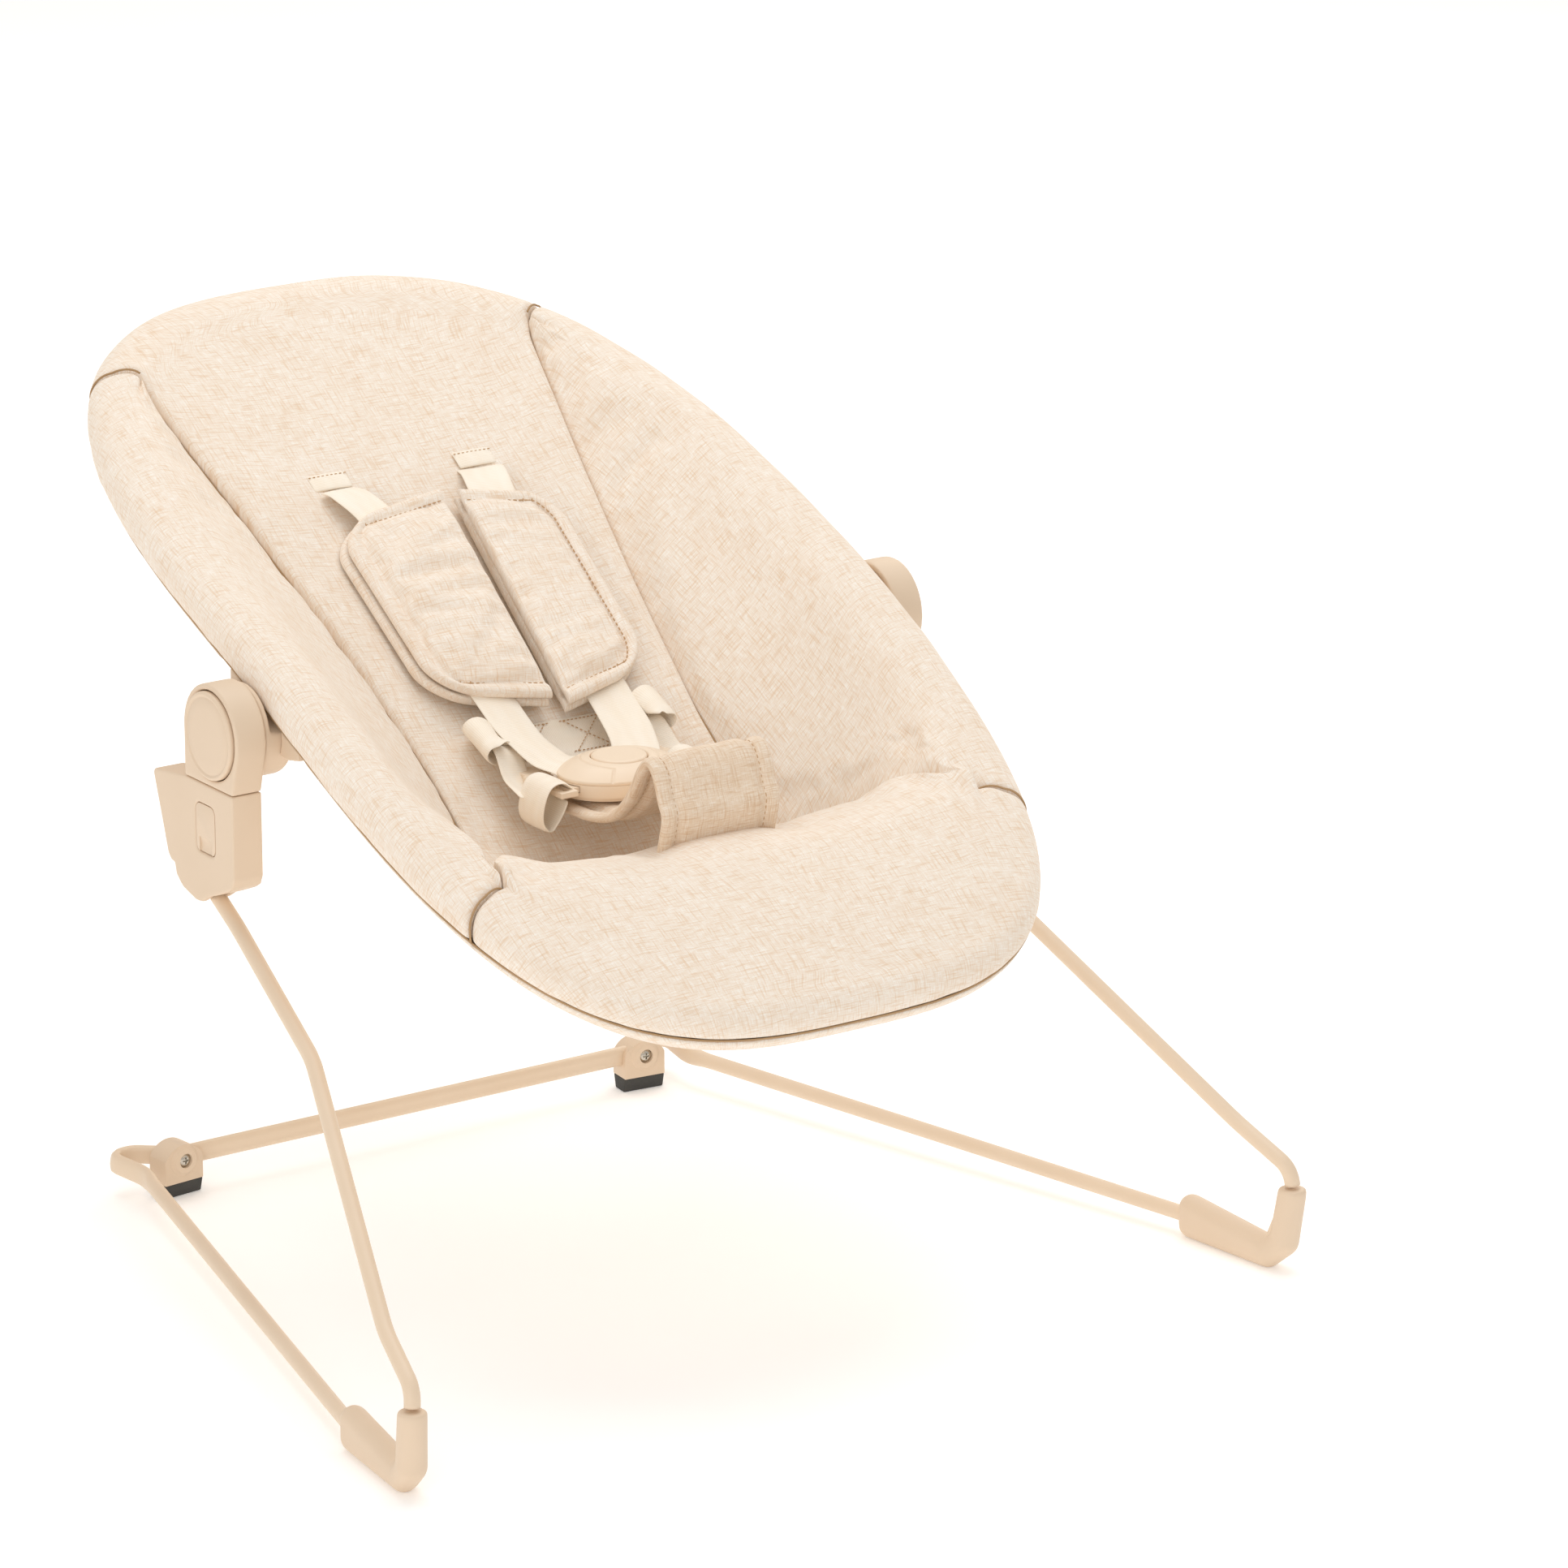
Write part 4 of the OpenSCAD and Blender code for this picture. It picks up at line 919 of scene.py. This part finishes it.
dress(eased("rear_crossbar", "rear_flat_crossbar", powder_coat, 0.4, 2, 60), "base", "painted_wire",
      "rear_crossbar")
dress(eased("bracket_screws", "pan_head_screws", nickel, 0.18, 2), "base", "nickel_steel", "bracket_screws")
repaint(nodes["bracket_rivets"].data, nickel)
for node in ("buckle_spring", "left_latch_spring", "left_recline_spring", "right_latch_spring",
             "right_recline_spring"):
    repaint(nodes[node].data, spring_steel)


# ---------- stitching ----------
def stitch_tree():
    """Geometry nodes: a run of stitches along a curve, as small rounded lengths of thread."""
    tree = bpy.data.node_groups.new("stitch_run", "GeometryNodeTree")
    face = tree.interface
    face.new_socket("Seam line", in_out="INPUT", socket_type="NodeSocketGeometry")
    for label, value in (("Pitch", 3.0 * MM), ("Stitch length", 2.1 * MM), ("Thread radius", 0.28 * MM)):
        socket = face.new_socket(label, in_out="INPUT", socket_type="NodeSocketFloat")
        socket.default_value = value
    face.new_socket("Thread", in_out="INPUT", socket_type="NodeSocketMaterial")
    face.new_socket("Stitches", in_out="OUTPUT", socket_type="NodeSocketGeometry")
    source = add_node(tree, "NodeGroupInput").outputs
    line = add_node(tree, "GeometryNodeResampleCurve", {
        "Curve": source["Seam line"], "Length": source["Pitch"]}, mode="LENGTH")
    places = add_node(tree, "GeometryNodeCurveToPoints", {"Curve": line.outputs["Curve"]}, mode="EVALUATED")
    bead = add_node(tree, "GeometryNodeMeshUVSphere", {"Segments": 6, "Rings": 4, "Radius": 1.0})
    half = add_node(tree, "ShaderNodeMath", {0: source["Stitch length"], 1: 0.5}, operation="MULTIPLY")
    size = add_node(tree, "ShaderNodeCombineXYZ", {
        "X": source["Thread radius"], "Y": source["Thread radius"], "Z": half.outputs["Value"]})
    laid = add_node(tree, "GeometryNodeInstanceOnPoints", {
        "Points": places.outputs["Points"], "Instance": bead.outputs["Mesh"],
        "Rotation": places.outputs["Rotation"], "Scale": size.outputs["Vector"]})
    real = add_node(tree, "GeometryNodeRealizeInstances", {"Geometry": laid.outputs["Instances"]})
    smooth = add_node(tree, "GeometryNodeSetShadeSmooth", {"Geometry": real.outputs["Geometry"]})
    finish = add_node(tree, "GeometryNodeSetMaterial", {
        "Geometry": smooth.outputs["Geometry"], "Material": source["Thread"]})
    result = add_node(tree, "NodeGroupOutput")
    link(tree, finish.outputs["Geometry"], result.inputs["Stitches"])
    return tree


STITCHES = stitch_tree()


def stitches(name, lines, pitch, length, radius):
    """One piece holding every stitch of some seam lines, in millimetres."""
    curve = bpy.data.curves.new(name, "CURVE")
    curve.dimensions = "3D"
    for line in lines:
        spline = curve.splines.new("POLY")
        spline.points.add(len(line) - 1)
        for point, place in zip(spline.points, line):
            point.co = (*(Vector(place) * MM), 1)
    guide = add_object(name + "_guide", curve)
    step = guide.modifiers.new("stitches", "NODES")
    step.node_group = STITCHES
    values = {"Pitch": pitch * MM, "Stitch length": length * MM, "Thread radius": radius * MM,
              "Thread": thread}
    for item in STITCHES.interface.items_tree:
        if item.in_out == "INPUT" and item.name in values:
            step[item.identifier] = values[item.name]
    mesh = evaluated_mesh(guide)
    mesh.name = name
    bpy.data.objects.remove(guide)
    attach(add_object(name, mesh), "seat")


# ---------- webbing ----------
def strip_frames(path):
    """Centre, side and normal along a curve whose points are (x, y, z, side x, side y, side z)."""
    frames = []
    last = len(path) - 1
    for k, point in enumerate(path):
        centre = Vector(point[:3])
        tangent = (Vector(path[min(k + 1, last)][:3]) - Vector(path[max(k - 1, 0)][:3])).normalized()
        side = Vector(point[3:6])
        side = (side - tangent * side.dot(tangent)).normalized()
        frames.append((centre, side, side.cross(tangent)))
    return frames


def strip(name, points, width, upper, lower, material, across=10, step=3.0):
    """A flat strip along a curve; upper and lower give its faces' heights from (share across, mm along)."""
    frames = strip_frames(curve_path(points, step))
    shares = spread(-1, 1, across)
    top, bottom = [], []
    along = 0.0
    for k, (centre, side, normal) in enumerate(frames):
        if k:
            along += (centre - frames[k - 1][0]).length
        for rows, height in ((top, upper), (bottom, lower)):
            rows.append([centre + side * s * width / 2 + normal * height(s, along) for s in shares])
    return shell(name, top, bottom, material)


def strap(name, points, width=WEB_W, thick=WEB_T):
    """Webbing: a thin strip with rounded selvedges and a slight crown."""
    def face(sign):
        return lambda s, along: sign * thick / 2 * (1 - 0.55 * abs(s) ** 8) + 0.35 * (1 - s * s)
    return subdivided(strip(name, points, width, face(1), face(-1), webbing))


def blend_strap(piece, node):
    """Bakes a strap's placement into its mesh and hides the CAD node that it replaces; the strap is not
    attached to the seat or its buckle tongue.
    """
    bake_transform(piece)
    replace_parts(piece, node)


def side_path(sign, rows):
    """Rows of (x, y, z, side x, side y, side z), mirrored to the left when sign is -1."""
    return [(sign * x, y, z, sign * u, v, w) for x, y, z, u, v, w in rows]


SLOT_X, SLOT_Y = 44.0, 148.0

tape_lines = []
for side, sign in SIDES:
    low = on_cover(sign * SLOT_X, SLOT_Y - 5, 0.7)
    high = on_cover(sign * SLOT_X, SLOT_Y + 4.5, 0.7)
    middle = on_cover(sign * SLOT_X, SLOT_Y, 1.0)
    tape = strap(f"{side}_slot_tape", [(*p, 1, 0, 0) for p in (low, middle, high)], 23.0, 1.3)
    dress(tape, "seat", "ivory_webbing")
    tape_lines.append([lerp(middle, high, 0.5) + Vector((t * 10.5, 0, 1.15)) for t in spread(-1, 1, 14)])
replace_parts(bpy.data.objects["left_slot_tape"], "slot_tapes")


# ---------- shoulder pads ----------
BINDING = 9.0
# Inner top, inner foot, outer top and outer foot of each pad.
PAD_CORNERS = {
    "right": ((15, 119, 362), (5, -2, 278), (66, 108, 355), (63, 9, 287)),
    "left": ((5, 122, 363), (-1, 4, 281), (-64, 113, 356), (-63, 14, 290)),
}


def pad_outline(t, length):
    """How far the pad reaches at a share of its length; its two outer corners are round."""
    radius = 27.0
    d = min(t, 1 - t) * length
    if d >= radius:
        return 1.0
    return 1 - (radius - math.sqrt(max(0.0, radius ** 2 - (radius - d) ** 2))) / 62.0


def pad_frame(corners):
    """Length, width and normal of a pad, and the place at shares of its length and width."""
    inner_top, inner_low, outer_top, outer_low = [Vector(c) for c in corners]
    normal = (inner_low - inner_top).cross(outer_top - inner_top).normalized()

    def place(t, s):
        return lerp(lerp(inner_top, inner_low, t), lerp(outer_top, outer_low, t), s)
    return ((inner_low - inner_top).length, (outer_top - inner_top).length,
            normal if normal.z > 0 else -normal, place)


def pad_faces(corners, seed, drop, spread_out):
    """Top and bottom grids of one pad layer: folded at its inner edge, bound round the other three."""
    length, width, normal, place = pad_frame(corners)
    ends = [0.5 - 0.5 * math.cos(math.pi * k / 46) for k in range(47)]
    ends = [lerp(k / 46, e, 0.55) for k, e in enumerate(ends)]
    top, bottom = [], []
    for t in ends:
        reach = pad_outline(t, length) + spread_out / width
        upper, lower = [], []
        for s in spread(0, 1, 26):
            s = lerp(s, 0.5 - 0.5 * math.cos(math.pi * s), 0.45)
            here = place(t, s * reach)
            edge = min(t * length, (1 - t) * length, (1 - s) * reach * width)
            fold = s * reach * width
            body = (6.8 * (1 - math.exp(-max(0.0, edge - BINDING) / 5.0))
                    * math.sqrt(min(1.0, (fold + 0.4) / 9.0)))
            bind = (2.6 * math.sqrt(max(0.0, min(1.0, edge / 2.5)))
                    * (1 - smooth_step(BINDING - 3, BINDING, edge)))
            wrinkle = noise.noise(Vector((t * 14, s * 2.2, seed))) * min(1.0, body / 4)
            rise = 0.9 + bind + body + 0.9 * wrinkle
            upper.append(here + normal * (rise - drop))
            lower.append(here + normal * (-1.2 - 2.2 * min(1.0, body / 4) - drop))
        top.append(upper)
        bottom.append(lower)
    return top, bottom


def pad_layer(name, corners, seed, drop=0.0, spread_out=0.0):
    top, bottom = pad_faces(corners, seed, drop, spread_out)
    piece = shell(name, top, bottom, linen)
    rows, cols = len(top), len(top[0])
    free = {r * cols + c for r in range(5, rows - 5) for c in range(2, cols - 6)}
    inflate(piece, free, 2.6, pressure=3.0, grow=-0.05)
    dress(subdivided(piece), "seat", "linen_cloth")
    return piece


def pad_stitch_line(corners):
    """The line of stitches just inside the binding, round the three bound sides."""
    length, width, normal, place = pad_frame(corners)
    inset = BINDING - 0.6
    near = inset / length
    line = []
    for t, s in ([(near, k) for k in spread(0.06, 1, 20)] + [(k, 1.0) for k in spread(0.02, 0.98, 60)]
                 + [(1 - near, k) for k in spread(1, 0.06, 20)]):
        reach = pad_outline(t, length) * width
        across = min(s * reach, reach - inset * 0.9)
        line.append(place(min(max(t, near), 1 - near), across / width) + normal * 1.9)
    return line


for side, sign in SIDES:
    corners = PAD_CORNERS[side]
    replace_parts(pad_layer(f"{side}_shoulder_pad_top", corners, 60.0 + sign), f"{side}_shoulder_pad")
    pad_layer(f"{side}_shoulder_pad_back", corners, 70.0 + sign, 6.5, 3.0 if sign < 0 else 0.0)
pad_lines = [pad_stitch_line(PAD_CORNERS[side]) for side, sign in SIDES]
stitches("shoulder_pad_stitching", pad_lines, 3.2, 2.4, 0.42)

# ---------- shoulder straps ----------
EAR_Z = BUCKLE_Z - 6
for side, sign in SIDES:
    start = on_cover(sign * (SLOT_X - 1), SLOT_Y - 6, 0.8)
    upper = [(sign * start.x, start.y, start.z, 1, 0, 0), (41, 134, start.z, 1, 0.05, 0.1),
             (36, 116, 357, 1, 0, 0.1), (33, 95, 343, 1, 0, 0)]
    dress(strap(f"{side}_shoulder_strap_upper", side_path(sign, upper)), "seat", "ivory_webbing")
    lower = [(33, 40, 304, 1, 0, 0), (32, 14, 286, 1, 0, 0.1), (31, -6, 273, 1, 0.05, 0.15),
             (29, -20, 266, 1, 0.1, 0.2), (25, -32, EAR_Z + 0.5, 1, 0.25, 0.15),
             (20, -40, EAR_Z - 1, 1, 0.45, 0)]
    piece = strap(f"{side}_shoulder_strap_lower", side_path(sign, lower))
    blend_strap(piece, f"{side}_shoulder_strap")

# ---------- lap tape and waist straps ----------
LAP_Y, LAP_HALF = -2.0, 40.0
slope = (on_cover(0, LAP_Y + 6) - on_cover(0, LAP_Y - 6)).normalized()
lap = [(*on_cover(k * LAP_HALF, LAP_Y, 1.0), *slope) for k in spread(-1, 1, 8)]
dress(strap("lap_tape_webbing", lap, WEB_W, 1.3), "seat", "ivory_webbing", "lap_tape")
cross = []
for sign in (-1, 1):
    for a, b in (((6, -9), (26, 9)), ((26, -9), (6, 9)), ((4, -9.5), (28, -9.5)), ((4, 9.5), (28, 9.5))):
        cross.append([on_cover(sign * lerp(a[0], b[0], t), LAP_Y, 2.3) + slope * lerp(a[1], b[1], t)
                      for t in spread(0, 1, 10)])
stitches("tape_stitching", tape_lines + cross, 2.4, 1.7, 0.32)

for side, sign in SIDES:
    base = on_cover(sign * 34, -1, 2.6)
    z = base.z
    along = (0, 0.9, 0.42)  # up the back, across the band
    curl = [(*base, *along), (sign * 43, -4, z + 1, *along), (sign * 51, -8, z + 2, *along),
            (sign * 56.5, -10, z + 5.5, *along), (sign * 56, -11, z + 10.5, *along),
            (sign * 50.5, -11.5, z + 12.5, *along), (sign * 45, -12, z + 10, *along),
            (sign * 44, -13, z + 6, *along)]
    dress(strap(f"{side}_waist_strap_fold", curl), "seat", "ivory_webbing")
    path = [(sign * x, y, height, 1, 0, sign * 0.2) for x, y, height in (
        (42, -6, z + 2.5), (43, -18, z + 3), (45, -30, 254.5), (46.5, -40, 252), (47, -50, 249.5))]
    piece = strap(f"{side}_waist_strap_webbing", path, WEB_W - 8)
    blend_strap(piece, f"{side}_waist_strap")
    loop = [(sign * (BUCKLE_RX + x), BUCKLE_Y + y, BUCKLE_Z - drop, 0, 1, 0) for x, y, drop in (
        (1.5, 0, 10.0), (8, -0.5, 5.4), (15, -1, 6.5), (19, -1, 14), (19.5, 0, 24), (14, 1, 30),
        (7, 1, 22), (4, 1, 15.5))]
    dress(strap(f"{side}_waist_loop_webbing", loop, WEB_W - 2), f"{side}_tongue", "ivory_webbing",
          f"{side}_waist_loop")


# ---------- crotch strap ----------
CROTCH_W = 70.0
crest = on_cover(0, -146, 0)
crotch_path = [(0, y, z, 1, 0, 0) for y, z in (
    (-141, crest.z - 6), (-144, crest.z + 4), (-146, crest.z + 14), (-143, 268), (-138, 281),
    (-131, 286.5), (-124, 280), (-114, 264), (-98, 250), (-78, 244.5), (BUCKLE_Y, 243.5),
    (BUCKLE_Y + 12, 243))]


def bound_face(sign):
    """Padded middle between two bias bindings, each with a stitched valley inside it."""
    def height(s, along):
        edge = (1 - abs(s)) * CROTCH_W / 2
        bind = 1.7 * math.sqrt(min(1.0, edge / 2.2)) * (1 - smooth_step(7.0, 8.6, edge))
        middle = 2.3 * smooth_step(8.6, 15, edge)
        ripple = 0.5 * noise.noise(Vector((s * 3, along / 13, 80 + sign))) * smooth_step(8, 16, edge)
        return sign * (0.75 + bind + middle) + ripple
    return height


# The crotch strap pad in the deeper linen: painted shade on its front.
crotch = strip("crotch_strap_pad", crotch_path, CROTCH_W, bound_face(1), bound_face(-1), crotch_linen_painted_shade,
               across=44, step=2.5)
dress(subdivided(crotch), "seat", "linen_cloth", "crotch_strap")
crotch_frames = strip_frames(curve_path(crotch_path, 2.5))
crotch_lines = [[c + s * sign * (CROTCH_W / 2 - 8.6) + n * face * 1.0 for c, s, n in crotch_frames]
                for sign in (-1, 1) for face in (-1, 1)]
stitches("crotch_strap_stitching", crotch_lines, 3.2, 2.4, 0.38)


# ---------- buckle ----------
RING = circle(320)


def buckle_ring(rx, ry, z, ring=RING):
    """An oval ring round the buckle's middle."""
    return [Vector((rx * c, BUCKLE_Y + ry * s, z)) for c, s in ring]


def split_groove(x, y):
    """The line where each side tongue meets the buckle: an arc beside the button, then a slanting cut."""
    r = math.hypot(x, y)
    if r < 1e-6:
        return 0.0
    angle = abs(math.degrees(math.atan2(y, abs(x))))
    depth = max(0.0, 1 - abs(r - 20.0) / 0.7) if angle < 50 else 0.0
    if r > 19.7:
        depth = max(depth, 1 - abs(angle - 50) * math.pi / 180 * r / 0.8)
    return 0.8 * depth


def cover_height(r):
    """Dome of the buckle cover at a share of its radius."""
    return BUCKLE_Z - 0.6 - 6.2 * max(0.0, (r - 0.50) / 0.5) ** 1.9


split_z = BUCKLE_Z - 8.5
well = BUTTON_R + 0.35
cover_rings = [buckle_ring(well, well, split_z), buckle_ring(well, well, BUCKLE_Z - 1.6)]
for share in spread(0.0, 1.0, 40):
    ring = []
    for c, s in RING:
        x = lerp((BUTTON_R + 0.9) * c, BUCKLE_RX * c, share)
        y = lerp((BUTTON_R + 0.9) * s, BUCKLE_RY * s, share)
        height = cover_height(math.hypot(x / BUCKLE_RX, y / BUCKLE_RY)) - split_groove(x, y)
        ring.append(Vector((x, BUCKLE_Y + y, height)))
    cover_rings.append(ring)
cover_rings += [buckle_ring(BUCKLE_RX, BUCKLE_RY, split_z + 0.4),
                buckle_ring(BUCKLE_RX * 0.99, BUCKLE_RY * 0.99, split_z)]
dress(loft("buckle_top_shell", cover_rings, acetal, closed=True), "seat", "buckle_plastic", "buckle_cover")

button_rings = [buckle_ring(r, r, BUCKLE_Z - drop, circle(96)) for r, drop in (
    (BUTTON_R, 5.7), (BUTTON_R, 1.0), (BUTTON_R - 0.35, 0.35), (BUTTON_R - 1.1, 0), (BUTTON_R - 2.2, 0.1),
    (BUTTON_R - 5, 0.35), (4, 0.55), (0.3, 0.6))]
dress(loft("buckle_push_button", button_rings, acetal), "buckle_press", "buckle_plastic", "buckle_button")
dress(eased("buckle_body", "buckle_lower_shell", acetal, 0.5, 2), "seat", "buckle_plastic", "buckle_body")
for side, sign in SIDES:
    dress(eased(f"{side}_buckle_tongue", f"{side}_tongue_plate", acetal, 0.6, 3), f"{side}_tongue",
          "buckle_plastic", f"{side}_buckle_tongue")


# ---------- floor, light and camera ----------
def paper_floor():
    """Matt white studio paper, almost without texture."""
    material, tree, surface = new_material("white_studio_paper", Roughness=0.95, Specular_IOR_Level=0.1)
    colour = mix_colour(tree, object_noise(tree, 2), hex_colour("#FDFCFB"), hex_colour("#FFFFFF"))
    link(tree, colour, surface.inputs["Base Color"])
    surface.inputs["Emission Color"].default_value = hex_colour("#FFFFFF")
    surface.inputs["Emission Strength"].default_value = 0.2
    return material


def add_floor(half=12.0):
    """A wide pale sheet under the seat."""
    mesh = bpy.data.meshes.new("studio_floor")
    corners = [(-half, -half, 0), (half, -half, 0), (half, half, 0), (-half, half, 0)]
    mesh.from_pydata(corners, [], [(0, 1, 2, 3)])
    mesh.materials.append(paper_floor())
    add_object("studio_floor", mesh)


def add_area_light(name, place, target, size, power, colour="#FFFFFF"):
    data = bpy.data.lights.new(name, "AREA")
    data.size = size
    data.energy = power
    data.color = hex_colour(colour)[:3]
    light = add_object(name, data)
    light.location = place
    light.rotation_euler = (Vector(target) - Vector(place)).to_track_quat("-Z", "Y").to_euler()


def add_camera():
    """The viewpoint: in front, to the left and a little above, through a long lens."""
    data = bpy.data.cameras.new("studio_camera")
    data.sensor_width = 36.0
    data.lens = 167.9
    data.clip_end = 60.0
    camera = add_object("studio_camera", data)
    camera.location = (-1.9249, -2.9845, 1.3402)
    azimuth, elevation = math.radians(34.66), math.radians(17.28)
    forward = Vector((math.sin(azimuth) * math.cos(elevation), math.cos(azimuth) * math.cos(elevation),
                      -math.sin(elevation)))
    camera.rotation_euler = forward.to_track_quat("-Z", "Y").to_euler()
    bpy.context.scene.camera = camera


world = bpy.data.worlds.new("soft_studio")
world.use_nodes = True
sky = world.node_tree.nodes["Background"]
sky.inputs["Color"].default_value = hex_colour("#FFFDFA")
sky.inputs["Strength"].default_value = 0.64
bpy.context.scene.world = world
bpy.context.scene.view_settings.view_transform = "Standard"
add_floor()
seat_middle = (0.0, 0.0, 0.25)
add_area_light("top_softbox", (0.5, 0.5, 3.2), seat_middle, 2.6, 42)
add_area_light("back_softbox", (2.3, 1.7, 1.5), seat_middle, 1.2, 13, "#FFF4E6")
add_area_light("front_fill", (-2.6, -1.5, 1.1), seat_middle, 1.8, 15)
add_camera()
